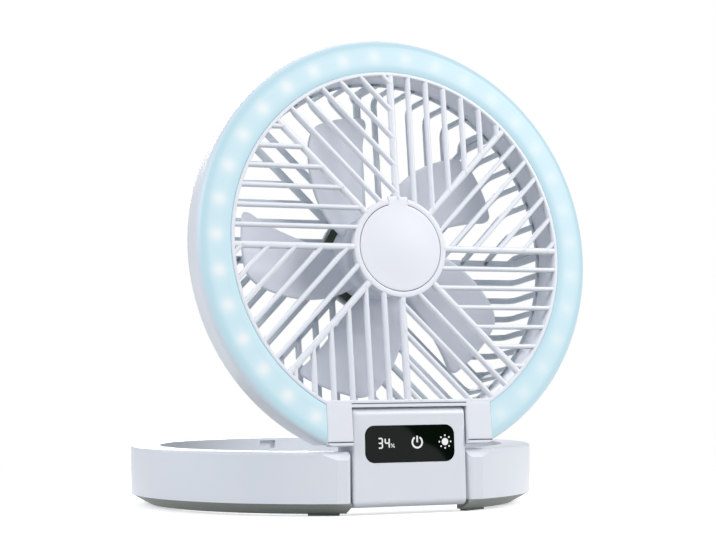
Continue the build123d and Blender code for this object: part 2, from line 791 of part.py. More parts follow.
def socket_place(depth):
    """On the ring's outer wall at the back, looking inwards from a depth below the surface."""
    place = (0, ring_outer_radius - depth, socket_height_above_table)
    return Plane(origin=place, x_dir=(1, 0, 0), z_dir=(0, -1, 0))


def base_top_shell():
    sketch = ring_outline()
    sketch = fillet(arm_end_corners(sketch), arm_corner)
    shell = layer(sketch, ring_seam, ring_top) - bevel_cutter(0)
    top_edges = shell.edges().filter_by(GeomType.CIRCLE).group_by(Axis.Z)[-1]
    outer_edge = [edge for edge in top_edges if edge.radius > ring_outer_radius - overlap]
    shell = fillet(outer_edge, ring_edge_round)
    room = layer(ring_outline(ring_wall), ring_seam - overlap, ring_top - ring_wall) - bevel_cutter(ring_wall)
    bosses = around(cylinder(screw_boss_radius, ring_seam, ring_top - overlap),
                    base_screw_angles(), foot_middle_radius)
    pilots = around(cylinder(screw_radius - screw_gap, tray_bottom, tray_bottom + base_screw_length),
                    base_screw_angles(), foot_middle_radius)
    port = extrude(socket_place(-overlap) * socket_outline(socket_gap), amount=ring_wall + 2 * overlap)
    shell = shell - room + bosses + (latch_pocket(latch_wall) - cylinder(ring_inner_radius, 0, ring_top))
    shell = shell - pilots - latch_pocket() - port
    return shell - bridge(arm_gap / 4)


def cell_pitch():
    """Angle from one battery cell to the next, with a screw boss between them."""
    half_space = cell_length / 2 + cell_screw_gap + screw_boss_radius
    return 2 * degrees(asin(half_space / foot_middle_radius))


def cell_angles():
    steps = [index - (cells_each_side - 1) / 2 for index in range(cells_each_side)]
    return [side + step * cell_pitch() for side in (0, 180) for step in steps]


def base_screw_angles():
    steps = [index - cells_each_side / 2 for index in range(cells_each_side + 1)]
    beside_cells = [side + step * cell_pitch() for side in (0, 180) for step in steps]
    return beside_cells + [90 - back_screw_angle, 90 + back_screw_angle]


def bridge(gap=0.0):
    """The bar of the tray that runs through the hinge block from arm to arm."""
    depth = bridge_front + bridge_back
    centre = hinge_y - ring_y + (bridge_back - bridge_front) / 2
    bar = block(2 * (half_arm + ring_wall + 2 * arm_corner) + 2 * gap, depth + 2 * gap,
                bridge_bottom - gap, bridge_bottom + bridge_height + gap)
    return Pos(0, centre, 0) * bar


def base_bottom_tray():
    lower = ring_outline(0, foot_radius)
    floor = layer(lower, tray_bottom, tray_bottom + tray_thickness)
    rise = ring_seam - tray_bottom
    slope = Pos(0, 0, tray_bottom) * Cone(foot_radius, ring_outer_radius, rise, align=standing)
    inner_slope = Cone(foot_radius - ring_wall, ring_outer_radius - ring_wall, rise, align=standing)
    skirt = slope - Pos(0, 0, tray_bottom + tray_thickness) * inner_slope
    skirt = skirt & layer(ring_outline(), tray_bottom, ring_seam)
    wall = ring_outline() - ring_outline(ring_wall)
    wall = layer(wall, tray_bottom + tray_thickness - overlap, ring_seam) & slope
    post = block(2 * arm_corner, bridge_back, tray_bottom, bridge_bottom + overlap)
    post = Pos(half_arm + ring_wall + arm_corner, hinge_y - ring_y + bridge_back / 2, 0) * post
    posts = both_sides(post & layer(ring_outline(ring_wall), 0, ring_top))
    tray = floor + [skirt, wall, bridge()] + posts
    rail_inner = ring_inner_radius + ring_wall + seam_gap
    rail = (Circle(rail_inner + ring_wall) - Circle(rail_inner)) & ring_outline(ring_wall)
    rail = layer(rail, tray_bottom, ring_seam)
    seats = around(cylinder(screw_boss_radius, tray_bottom, ring_seam), base_screw_angles(), foot_middle_radius)
    tray = tray + rail + seats
    pads = around(block(pad_width, pad_length, 0, tray_bottom + pad_recess), pad_angles, foot_middle_radius)
    heads = around(cylinder(screw_head_radius + screw_gap, 0, tray_bottom + screw_head_height),
                   base_screw_angles(), foot_middle_radius)
    holes = around(cylinder(screw_radius + screw_gap, 0, ring_seam), base_screw_angles(), foot_middle_radius)
    return tray - pads - heads - holes


def foot_pad(angle):
    pad = block(pad_width, pad_length, pad_bottom, tray_bottom + pad_recess)
    pad = fillet(pad.edges().filter_by(Axis.Z), pad_width / 4)
    return Rot(0, 0, angle) * Pos(foot_middle_radius, 0, 0) * pad


def base_screws():
    seat = tray_bottom + screw_head_height
    screw = cylinder(screw_head_radius, tray_bottom, seat)
    screw += cylinder(screw_radius - screw_gap, seat, seat + base_screw_length - 2 * screw_head_height)
    return around(screw, base_screw_angles(), foot_middle_radius)


def battery_cell(angle):
    cell = block(cell_thickness, cell_length, ring_seam, ring_seam + cell_height)
    cell = Pos(cell_inner + cell_thickness / 2, 0, 0) * cell
    cell = fillet(cell.edges().filter_by(Axis.Z), cell_round)
    return Rot(0, 0, angle) * cell


# ---------------------------------------------------------------- base: electronics
def control_board():
    back = ring_outer_radius - ring_wall - socket_length + socket_wall
    board = block(control_board_width, board_thickness, ring_seam, ring_seam + control_board_height)
    return Pos(0, back - board_thickness / 2, 0) * board


def charge_socket():
    shell = extrude(socket_place(ring_wall - socket_wall) * socket_outline(), amount=socket_length)
    room_length = socket_length + ring_wall - 3 * socket_wall
    room = extrude(socket_place(0) * socket_outline(-socket_wall), amount=room_length)
    tongue = Rectangle(socket_tongue_width, socket_tongue_height)
    tongue_length = socket_length - socket_tongue_setback - socket_wall
    tongue = extrude(socket_place(ring_wall + socket_tongue_setback) * tongue, amount=tongue_length)
    return shell - room + tongue


# ---------------------------------------------------------------- hinge block
def block_profile(inset=0.0):
    """Side view of the hinge block about the hinge axis: (Y, Z) with its rounded back shoulder."""
    top = hinge_depth - inset
    back = block_back - inset
    bottom = block_bottom - hinge_height + inset
    front_top = (-block_front_top + inset, top)
    front_bottom = (-block_front_bottom + inset, bottom)
    outline = Polyline(front_bottom, front_top, (back, top), (back, bottom), close=True)
    face = make_face(outline)
    corners = face.vertices()
    face = fillet(corners.sort_by_distance((*front_top, 0))[0], block_top_round - inset / 2)
    face = fillet(face.vertices().sort_by_distance((back, top, 0))[0], hinge_depth - inset - hair)
    face = fillet(face.vertices().sort_by_distance((*front_bottom, 0))[0], block_foot_round - inset / 2)
    return face


def block_body(inset=0.0):
    width = block_width - 2 * inset
    body = extrude(Plane.YZ * block_profile(inset), amount=width / 2, both=True)
    if not inset:
        ends = body.edges().group_by(Axis.X)
        body = fillet(ends[0] + ends[-1], block_end_round)
    return Pos(0, hinge_y - ring_y, hinge_height) * body


def window_place(depth):
    """On the block's sloping front face, at the window's centre, sunk by a depth."""
    rise = window_centre_height - block_bottom
    height = block_top - block_bottom
    lean = (block_front_bottom - block_front_top) / height
    face_y = hinge_y - ring_y - block_front_bottom + lean * rise
    normal = Vector(0, -1, lean).normalized()
    origin = Vector(0, face_y, window_centre_height) - normal * depth
    return Plane(origin=origin, x_dir=(1, 0, 0), z_dir=normal)


def window_outline(gap=0.0):
    return RectangleRounded(window_width + 2 * gap, window_height + 2 * gap, window_corner + gap)


def block_half(front):
    """Front or rear half of the hinge block, hollow, split behind the hinge axis."""
    seam = hinge_y - ring_y + block_seam
    shell = block_body() - block_body(block_wall)
    reach = 2 * block_width
    centre = seam - reach / 2 if front else seam + reach / 2
    half = Pos(0, centre, -reach / 2) * block(reach, reach, 0, 2 * reach)
    pin_hole = on_hinge(cylinder(pin_radius, -block_width, block_width), 0)
    return (shell & half) - pin_hole - bridge(screw_gap)


def block_front_cover():
    cover = block_half(True)
    depth = window_thickness + overlap
    opening = extrude(window_place(-overlap) * window_outline(window_gap), amount=-depth)
    ledge_hole = extrude(window_place(0) * window_outline(-window_ledge), amount=-3 * block_wall)
    return cover - opening - ledge_hole


def block_rear_cover():
    return block_half(False)


def display_window():
    return extrude(window_place(0) * window_outline(), amount=-window_thickness)


def display_board():
    board = Rectangle(window_width + 2 * display_board_margin, window_height + 2 * display_board_margin)
    back = digit_module_thickness + window_thickness
    return extrude(window_place(back) * board, amount=-board_thickness)


def digit_module():
    left = digit_module_edge - window_width / 2
    module = Pos(left + digit_module_width / 2, 0) * Rectangle(digit_module_width, digit_module_height)
    return extrude(window_place(window_thickness) * module, amount=-digit_module_thickness)


# ---------------------------------------------------------------- hinge hardware, in the base's frame
def on_hinge(part, start):
    """A round piece drawn along Z, laid on the hinge axis from an X outwards."""
    return Pos(start, hinge_y - ring_y, hinge_height) * Rot(0, 90, 0) * part


def hinge_stack():
    boss_end = half_notch + shell_wall + ear_boss_length
    washer_start = boss_end + washer_gap
    nut_start = washer_start + washer_thickness
    return boss_end, washer_start, nut_start


def hinge_pin(side):
    start = half_block - block_wall - pin_head_thickness
    _, _, nut_start = hinge_stack()
    end = nut_start + nut_thickness
    pin = cylinder(pin_radius, 0, end - start) + cylinder(pin_head_radius, 0, pin_head_thickness)
    pin = on_hinge(pin - cylinder(pin_bore_radius, -overlap, end), start)
    return pin if side > 0 else mirror(pin, about=Plane.YZ)


def friction_washers():
    _, washer_start, _ = hinge_stack()
    washer = on_hinge(tube(washer_radius, pin_radius, 0, washer_thickness), washer_start)
    return both_sides(washer)


def hinge_nuts():
    _, _, nut_start = hinge_stack()
    nut = layer(RegularPolygon(nut_radius, nut_sides), 0, nut_thickness)
    nut -= cylinder(pin_radius, -overlap, 2 * nut_thickness)
    return both_sides(on_hinge(nut, nut_start))


# ---------------------------------------------------------------- build every sub-part
shell_white = (0.87, 0.88, 0.92)
light_blue = (0.75, 0.91, 0.96)
blade_grey = (0.77, 0.78, 0.83)
board_green = (0.16, 0.22, 0.17)
steel = (0.72, 0.73, 0.75)
copper = (0.72, 0.42, 0.24)
dark = (0.06, 0.07, 0.06)
rubber_grey = (0.35, 0.36, 0.37)

rear_bearing_level, front_bearing_level = bearing_levels()
head_parts = {
    "front_grille": (front_grille, shell_white),
    "hub_cap": (hub_cap, shell_white),
    "light_diffuser": (light_diffuser, light_blue),
    "led_board": (led_board, shell_white),
    "led_chips": (led_chips, light_blue),
    "head_frame": (head_frame, shell_white),
    "rear_housing": (rear_housing, shell_white),
    "head_screws": (head_screws, steel),
    "rear_cage": (rear_cage, shell_white),
    "motor_base": (motor_base, steel),
    "motor_board": (motor_board, board_green),
    "stator_core": (stator_core, steel),
    "stator_coils": (stator_coils, copper),
    "rear_bearing": (lambda: bearing(rear_bearing_level), steel),
    "front_bearing": (lambda: bearing(front_bearing_level), steel),
    "motor_screws": (motor_screws, steel),
    "motor_shaft": (motor_shaft, steel),
    "shaft_clip": (shaft_clip, steel),
    "rotor_cup": (rotor_cup, steel),
    "rotor_magnet": (rotor_magnet, dark),
    "impeller": (impeller, blade_grey),
}
base_parts = {
    "base_top_shell": (base_top_shell, shell_white),
    "base_bottom_tray": (base_bottom_tray, shell_white),
    "block_front_cover": (block_front_cover, shell_white),
    "block_rear_cover": (block_rear_cover, shell_white),
    "display_window": (display_window, dark),
    "display_board": (display_board, board_green),
    "digit_module": (digit_module, dark),
    "hinge_pin_left": (lambda: hinge_pin(-1), steel),
    "hinge_pin_right": (lambda: hinge_pin(1), steel),
    "friction_washers": (friction_washers, steel),
    "hinge_nuts": (hinge_nuts, steel),
    "control_board": (control_board, board_green),
    "charge_socket": (charge_socket, steel),
    "base_screws": (base_screws, steel),
}
for number, angle in enumerate(cell_angles(), start=1):
    base_parts[f"battery_cell_{number}"] = (lambda angle=angle: battery_cell(angle), light_blue)
for number, angle in enumerate(pad_angles, start=1):
    base_parts[f"foot_pad_{number}"] = (lambda angle=angle: foot_pad(angle), rubber_grey)

for node, (make, colour) in head_parts.items():
    made = make()
    made = made if isinstance(made, list) else [made]
    save([stand_up(item) for item in made], node, colour)
for node, (make, colour) in base_parts.items():
    made = make()
    made = made if isinstance(made, list) else [made]
    save([Pos(0, ring_y, 0) * item for item in made], node, colour)
print(f"{len(head_parts) + len(base_parts)} sub-parts written")
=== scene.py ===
import json
from math import asin, cos, pi, radians, sin, sqrt, tan

import bmesh
import bpy
import numpy as np
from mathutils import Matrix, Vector


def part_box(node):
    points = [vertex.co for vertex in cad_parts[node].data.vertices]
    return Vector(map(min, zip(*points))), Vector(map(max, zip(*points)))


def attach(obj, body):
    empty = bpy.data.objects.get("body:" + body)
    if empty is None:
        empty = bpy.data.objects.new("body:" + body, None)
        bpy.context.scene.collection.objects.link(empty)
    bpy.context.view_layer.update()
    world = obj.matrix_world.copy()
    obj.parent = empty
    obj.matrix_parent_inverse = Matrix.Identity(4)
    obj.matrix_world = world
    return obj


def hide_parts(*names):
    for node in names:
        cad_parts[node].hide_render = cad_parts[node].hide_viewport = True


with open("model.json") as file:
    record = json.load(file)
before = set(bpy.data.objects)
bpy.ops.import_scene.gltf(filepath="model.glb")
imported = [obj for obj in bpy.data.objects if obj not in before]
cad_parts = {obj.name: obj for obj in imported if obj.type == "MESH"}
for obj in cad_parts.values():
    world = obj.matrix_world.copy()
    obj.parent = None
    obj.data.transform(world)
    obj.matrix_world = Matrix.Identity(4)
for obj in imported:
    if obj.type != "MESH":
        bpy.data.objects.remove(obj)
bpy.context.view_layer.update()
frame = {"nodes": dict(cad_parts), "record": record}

scene = bpy.context.scene
scene.view_settings.view_transform = "Standard"
nodes = frame["nodes"]

# the fan head is worked out lying on its back in millimetres: x right, y up the face, z out of the face
head = {
    "hingeDrop": 91.4,       # hub down to the hinge
    "hingeDepth": 10.4,      # face back to the hinge
    "tilt": 6.8,             # degrees that the head leans back at rest
}
hinge = np.array([joint for joint in frame["record"]["behaviour"]["joints"]
                  if joint["name"] == "head_tilt"][0]["pos_m"])


def headRotation():
    # a turn about x that lifts the lying head up to its lean
    turn = radians(90 - head["tilt"])
    return np.array([[1, 0, 0], [0, cos(turn), -sin(turn)], [0, sin(turn), cos(turn)]])


# hub centre on the face, in the frame's metres
hubPlace = hinge + headRotation() @ np.array([0, head["hingeDrop"], head["hingeDepth"]]) / 1000


def toHead(points):
    # head millimetres, any array ending in xyz, turned up to the leaning head in metres
    return points @ headRotation().T / 1000 + hubPlace


def meshPiece(name, points, faces, smooth=True):
    # a mesh of points in metres, linked to the scene at the origin
    mesh = bpy.data.meshes.new(name)
    mesh.from_pydata(np.asarray(points).reshape(-1, 3).tolist(), [], [tuple(face) for face in faces])
    mesh.polygons.foreach_set("use_smooth", np.full(len(mesh.polygons), smooth))
    mesh.update()
    piece = bpy.data.objects.new(name, mesh)
    scene.collection.objects.link(piece)
    return piece


def gridFaces(rows, columns, closeRows=False, closeColumns=False):
    # quads between neighbouring points of a grid, wrapped round where a side is closed
    r = np.arange(rows if closeRows else rows - 1)[:, None]
    c = np.arange(columns if closeColumns else columns - 1)[None, :]
    nextR = (r + 1) % rows
    nextC = (c + 1) % columns
    corners = [r * columns + c, r * columns + nextC, nextR * columns + nextC, nextR * columns + c]
    return np.stack(corners, axis=-1).reshape(-1, 4).tolist()


def cornerArc(x, y, radius, first, steps):
    # a quarter circle about x, y from a first angle in degrees
    angles = np.radians(first + np.linspace(0, 90, steps + 1))
    return np.column_stack([x + radius * np.cos(angles), y + radius * np.sin(angles)])


def roundedSection(width, depth, frontRound, backRound, steps=4):
    # closed outline of a bar, across and out: a rectangle from out = 0 down to -depth with rounded corners
    half = width / 2
    return np.concatenate([
        cornerArc(half - frontRound, -frontRound, frontRound, 0, steps),
        cornerArc(frontRound - half, -frontRound, frontRound, 90, steps),
        cornerArc(backRound - half, backRound - depth, backRound, 180, steps),
        cornerArc(half - backRound, backRound - depth, backRound, 270, steps)])


def closedTube(points):
    # a grid whose rows run along a path and whose columns go round a section, its two ends closed
    rows, columns = points.shape[:2]
    faces = gridFaces(rows, columns, closeColumns=True)
    faces += [tuple(range(columns))[::-1], tuple(range((rows - 1) * columns, rows * columns))]
    return points.reshape(-1, 3), faces


def spun(profile, first=0.0, last=360.0, steps=120):
    # a closed profile of radius and height turned about the hub's axis, a full turn or a part of one
    profile = np.asarray(profile, float)
    full = last - first >= 360
    angles = np.radians(np.linspace(first, last, steps, endpoint=not full))[:, None]
    points = np.stack([profile[:, 0] * np.cos(angles), profile[:, 0] * np.sin(angles),
                       profile[:, 1] + 0 * angles], axis=-1)
    if full:
        return points.reshape(-1, 3), gridFaces(steps, len(profile), closeRows=True, closeColumns=True)
    return closedTube(points)


def stackedLoops(section, loopAt):
    # one loop for each outset and height of a section; loopAt moves the outline out by the outset
    lines = [(loopAt(outset), height) for outset, height in section]
    return np.stack([np.column_stack([line, np.full(len(line), height)]) for line, height in lines])


def loopBand(section, loopAt):
    # a closed section of outset and height, carried round a closed loop
    points = stackedLoops(section, loopAt)
    return points.reshape(-1, 3), gridFaces(*points.shape[:2], closeRows=True, closeColumns=True)


def plate(loopAt, top, bottom, edge, crown=0.0, crownReach=1.0, rings=8):
    # a plate inside a loop: walls, a rounded front edge, and a front of shrinking rings that swells about
    # the hub by crown * (1 - (distance / crownReach) squared) squared
    bend = np.radians(np.linspace(0, 90, 5))
    section = [(0.0, bottom), *zip(edge * (np.cos(bend) - 1), top - edge + edge * np.sin(bend))]
    walls = stackedLoops(section, loopAt)
    last = walls[-1]
    centre = np.zeros(2) if crown else (last[:, :2].max(axis=0) + last[:, :2].min(axis=0)) / 2
    middle = np.append(centre, top)
    shares = np.linspace(0, 1, rings + 1)[1:-1, None, None]
    front = last + (middle - last) * shares
    away = np.hypot(front[..., 0] - centre[0], front[..., 1] - centre[1]) / crownReach
    front[..., 2] = top + crown * (1 - np.minimum(away, 1) ** 2) ** 2
    return closedTube(np.concatenate([walls, front]))


def joinParts(parts):
    # several parts' points and faces as one list of each
    points, faces, start = [], [], 0
    for partPoints, partFaces in parts:
        points.append(np.asarray(partPoints).reshape(-1, 3))
        faces += [tuple(index + start for index in face) for face in partFaces]
        start += len(points[-1])
    return np.concatenate(points), faces


def finishHeadPiece(name, parts, material, body="head", sharp=40.0):
    # parts in head millimetres become one piece on the leaning head, merged, facing out, shaded smooth
    points, faces = joinParts(parts)
    piece = meshPiece(name, toHead(points), faces)
    work = bmesh.new()
    work.from_mesh(piece.data)
    bmesh.ops.remove_doubles(work, verts=work.verts, dist=2e-6)
    bmesh.ops.dissolve_degenerate(work, edges=work.edges, dist=1e-6)
    bmesh.ops.recalc_face_normals(work, faces=work.faces)
    work.to_mesh(piece.data)
    work.free()
    piece.data.set_sharp_from_angle(angle=radians(sharp))
    piece.data.materials.append(material)
    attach(piece, body)
    return piece


def hexColour(code):
    # an sRGB hex value as linear red, green, blue and full alpha
    parts = np.array([int(code[i:i + 2], 16) for i in (1, 3, 5)]) / 255
    linear = np.where(parts <= 0.04045, parts / 12.92, ((parts + 0.055) / 1.055) ** 2.4)
    return (*linear.tolist(), 1.0)


def addNode(tree, kind, settings=None, links=None):
    # one node; a setting names an attribute or a socket, a link names a socket and the output that feeds it
    node = tree.nodes.new(kind)
    for name, value in (settings or {}).items():
        if isinstance(name, str) and hasattr(node, name):
            setattr(node, name, value)
        else:
            node.inputs[name].default_value = value
    for name, source in (links or {}).items():
        tree.links.new(source, node.inputs[name])
    return node


def newMaterial(name):
    material = bpy.data.materials.new(name)
    material.use_nodes = True
    tree = material.node_tree
    tree.nodes.clear()
    return material, tree


def finishMaterial(tree, shader):
    addNode(tree, "ShaderNodeOutputMaterial", links={"Surface": shader})


def cloudyTone(tree, first, second, size, detail=2.0):
    # two close tones that drift into each other over a size in millimetres: their colour and the cloud
    place = addNode(tree, "ShaderNodeTexCoord").outputs["Object"]
    cloud = addNode(tree, "ShaderNodeTexNoise", {"Scale": 1000 / size, "Detail": detail}, {"Vector": place})
    tone = addNode(tree, "ShaderNodeMix", {"data_type": "RGBA", 6: hexColour(first), 7: hexColour(second)},
                   {0: cloud.outputs["Fac"]})
    return tone.outputs[2], cloud.outputs["Fac"]


def mouldedPlastic(name, colour, shade, roughness=0.34, grain=0.35, bump=0.012, edge=0.25):
    # injection-moulded plastic: even colour with a breath of variation, satin gloss, fine spark-eroded
    # grain, and edges softened by a small radius; grain, bump and edge are in millimetres
    material, tree = newMaterial(name)
    tone, cloud = cloudyTone(tree, colour, shade, size=45.0)
    place = addNode(tree, "ShaderNodeTexCoord").outputs["Object"]
    fine = addNode(tree, "ShaderNodeTexNoise", {"Scale": 1000 / grain, "Detail": 1.0}, {"Vector": place})
    gloss = addNode(tree, "ShaderNodeMapRange", {"To Min": roughness - 0.04, "To Max": roughness + 0.05},
                    {"Value": fine.outputs["Fac"]})
    soft = addNode(tree, "ShaderNodeBevel", {"samples": 4, "Radius": edge / 1000})
    relief = addNode(tree, "ShaderNodeBump", {"Strength": 0.35, "Distance": bump / 1000},
                     {"Height": fine.outputs["Fac"], "Normal": soft.outputs["Normal"]})
    shader = addNode(tree, "ShaderNodeBsdfPrincipled", {"IOR": 1.52},
                     {"Base Color": tone, "Roughness": gloss.outputs["Result"],
                      "Normal": relief.outputs["Normal"]})
    finishMaterial(tree, shader.outputs["BSDF"])
    return material


def bareMetal(name, colour, roughness=0.32, lineSize=(3.3, 3.3, 0.33)):
    # turned, stamped or drawn metal: fine lines in its roughness, of a size in millimetres along x, y and z
    material, tree = newMaterial(name)
    place = addNode(tree, "ShaderNodeTexCoord").outputs["Object"]
    lines = addNode(tree, "ShaderNodeMapping", {"Scale": [1000 / size for size in lineSize]},
                    {"Vector": place})
    noise = addNode(tree, "ShaderNodeTexNoise", {"Scale": 1.0, "Detail": 3.0},
                    {"Vector": lines.outputs["Vector"]})
    gloss = addNode(tree, "ShaderNodeMapRange", {"To Min": roughness - 0.08, "To Max": roughness + 0.12},
                    {"Value": noise.outputs["Fac"]})
    shader = addNode(tree, "ShaderNodeBsdfPrincipled", {"Base Color": hexColour(colour), "Metallic": 1.0},
                     {"Roughness": gloss.outputs["Result"]})
    finishMaterial(tree, shader.outputs["BSDF"])
    return material


def dullSolid(name, colour, shade, roughness, grain, bump=0.02):
    # rubber, solder mask, ferrite and wrap: two close tones in a fine relief, both in millimetres
    material, tree = newMaterial(name)
    tone, cloud = cloudyTone(tree, colour, shade, grain, detail=3.0)
    relief = addNode(tree, "ShaderNodeBump", {"Strength": 0.4, "Distance": bump / 1000}, {"Height": cloud})
    shader = addNode(tree, "ShaderNodeBsdfPrincipled", {"Roughness": roughness},
                     {"Base Color": tone, "Normal": relief.outputs["Normal"]})
    finishMaterial(tree, shader.outputs["BSDF"])
    return material


ringLight = {
    "inner": 92.75, "shoulder": 104.4, "outer": 110.0, "skirt": 4.5, "wall": 2.0, "endHalf": 46.2,
    "middle": 100.4,         # radius of the row of lamps
    "plainHalf": 1.95,       # the band keeps its colour this far each side of the lamps
    "halfWidth": 7.8,        # and is all edge colour this far out
    "pitch": 10.27,          # degrees between lamps
    "spot": 2.6,             # size of one lamp's glow
    "glowAt": (-80, 50),     # painted brightness across the head, from where the lamps are made to glow most, on the left, to where they glow least
    "glow": (0.85, 0.40),
    "fade": (3.6, 10.0),     # way over the shoulder in which the light dies
    "body": "#d3eff9",
    "edge": "#c4e6f2",
    "hot": "#fafeff",
    "plain": "#dfe1ea",      # unlit plastic at the outer shoulder
    "reflect": 0.25,         # share of the colour that the plastic reflects
    "strength": 0.65,
    "roughness": 0.45,
}


def litDiffuser():
    # milky PMMA over a row of cool white lamps: a soft band, bluer at both edges, a glow at each lamp,
    # fading to unlit plastic where the shoulder turns to the side
    light = ringLight
    material, tree = newMaterial("milkyAcrylicLit")
    place = addNode(tree, "ShaderNodeTexCoord").outputs["Object"]
    flat = addNode(tree, "ShaderNodeMapping", {
        "vector_type": "TEXTURE", "Location": hubPlace.tolist(),
        "Rotation": (radians(90 - head["tilt"]), 0, 0), "Scale": (0.001, 0.001, 0.001)}, {"Vector": place})
    split = addNode(tree, "ShaderNodeSeparateXYZ", links={"Vector": flat.outputs["Vector"]})
    values = {"x": split.outputs["X"], "y": split.outputs["Y"], "z": split.outputs["Z"]}
    # each row names a value, its operation, and the numbers or earlier values that it works on
    formula = [
        ("xSquare", "MULTIPLY", "x", "x"),
        ("ySquare", "MULTIPLY", "y", "y"),
        ("radiusSquare", "ADD", "xSquare", "ySquare"),
        ("radius", "SQRT", "radiusSquare"),
        ("angle", "ARCTAN2", "x", "y"),
        ("lampCount", "DIVIDE", "angle", radians(light["pitch"])),
        ("fromLamp", "FRACT", "lampCount"),
        ("centred", "SUBTRACT", "fromLamp", 0.5),
        ("arc", "MULTIPLY", "centred", radians(light["pitch"])),
        ("along", "MULTIPLY", "arc", "radius"),
        ("across", "SUBTRACT", "radius", light["middle"]),
        ("beside", "ABSOLUTE", "across"),
        ("alongSquare", "MULTIPLY", "along", "along"),
        ("acrossSquare", "MULTIPLY", "across", "across"),
        ("away", "ADD", "alongSquare", "acrossSquare"),
        ("awayShare", "DIVIDE", "away", -2 * light["spot"] ** 2),
        ("bell", "EXPONENT", "awayShare"),
        ("overShoulder", "SUBTRACT", "radius", light["shoulder"]),
        ("turned", "SUBTRACT", "overShoulder", "z"),
    ]
    for name, operation, *inputs in formula:
        numbers = {index: item for index, item in enumerate(inputs) if not isinstance(item, str)}
        sources = {index: values[item] for index, item in enumerate(inputs) if isinstance(item, str)}
        step = addNode(tree, "ShaderNodeMath", {"operation": operation, **numbers}, sources)
        values[name] = step.outputs[0]
    # smooth ramps: name, source, where it runs, and what it runs between
    ramps = [
        ("glow", "x", light["glowAt"], light["glow"]),
        ("side", "beside", (light["plainHalf"], light["halfWidth"]), (0, 1)),
        ("fade", "turned", light["fade"], (0, 1)),
    ]
    for name, source, (low, high), (first, last) in ramps:
        ramp = addNode(tree, "ShaderNodeMapRange", {
            "interpolation_type": "SMOOTHSTEP", "From Min": low, "From Max": high,
            "To Min": first, "To Max": last}, {"Value": values[source]})
        values[name] = ramp.outputs["Result"]
    # painted highlight: each lamp's glow is scaled by the ramp across the head, brighter on the left than on
    # the right
    spot = addNode(tree, "ShaderNodeMath", {"operation": "MULTIPLY"}, {0: values["bell"], 1: values["glow"]})
    black = (0, 0, 0, 1)
    band = addNode(tree, "ShaderNodeMix", {
        "data_type": "RGBA", 6: hexColour(light["body"]), 7: hexColour(light["edge"])}, {0: values["side"]})
    lit = addNode(tree, "ShaderNodeMix", {"data_type": "RGBA", 7: hexColour(light["hot"])},
                  {0: spot.outputs[0], 6: band.outputs[2]})
    shining = addNode(tree, "ShaderNodeMix", {"data_type": "RGBA", 7: black},
                      {0: values["fade"], 6: lit.outputs[2]})
    dimmed = addNode(tree, "ShaderNodeMix", {"data_type": "RGBA", 0: 1 - light["reflect"], 7: black},
                     {6: lit.outputs[2]})
    body = addNode(tree, "ShaderNodeMix", {"data_type": "RGBA", 7: hexColour(light["plain"])},
                   {0: values["fade"], 6: dimmed.outputs[2]})
    shader = addNode(tree, "ShaderNodeBsdfPrincipled", {
        "Roughness": light["roughness"], "IOR": 1.49, "Emission Strength": light["strength"]},
        {"Base Color": body.outputs[2], "Emission Color": shining.outputs[2]})
    finishMaterial(tree, shader.outputs["BSDF"])
    return material


def smokedAcrylic():
    # polished smoked acrylic over the display: near black with a green cast, mirror smooth
    material, tree = newMaterial("smokedAcrylic")
    tone, cloud = cloudyTone(tree, "#060e07", "#09120a", size=11.0, detail=1.0)
    shader = addNode(tree, "ShaderNodeBsdfPrincipled", {"Roughness": 0.03, "IOR": 1.49}, {"Base Color": tone})
    finishMaterial(tree, shader.outputs["BSDF"])
    return material


def litSign():
    # printed translucent ink lit from behind, cool white
    material, tree = newMaterial("litInk")
    tone, cloud = cloudyTone(tree, "#f4f8f6", "#fbfdfc", size=2.5)
    shader = addNode(tree, "ShaderNodeBsdfPrincipled", {
        "Roughness": 0.4, "Emission Strength": 0.85, "Base Color": hexColour("#303432")},
        {"Emission Color": tone})
    finishMaterial(tree, shader.outputs["BSDF"])
    return material


shellAbs = mouldedPlastic("satinAbsShell", "#e3e6ec", "#dfe3ea")
# painted shade: the bottom tray takes a dark grey-green standing in for the shade under the base
trayPaintedShadeAbs = mouldedPlastic("satinAbsTrayPaintedShade", "#868e86", "#808880", roughness=0.45)
guardAbs = mouldedPlastic("satinAbsGuard", "#e5e7ed", "#e1e3ea", roughness=0.38, edge=0.2)
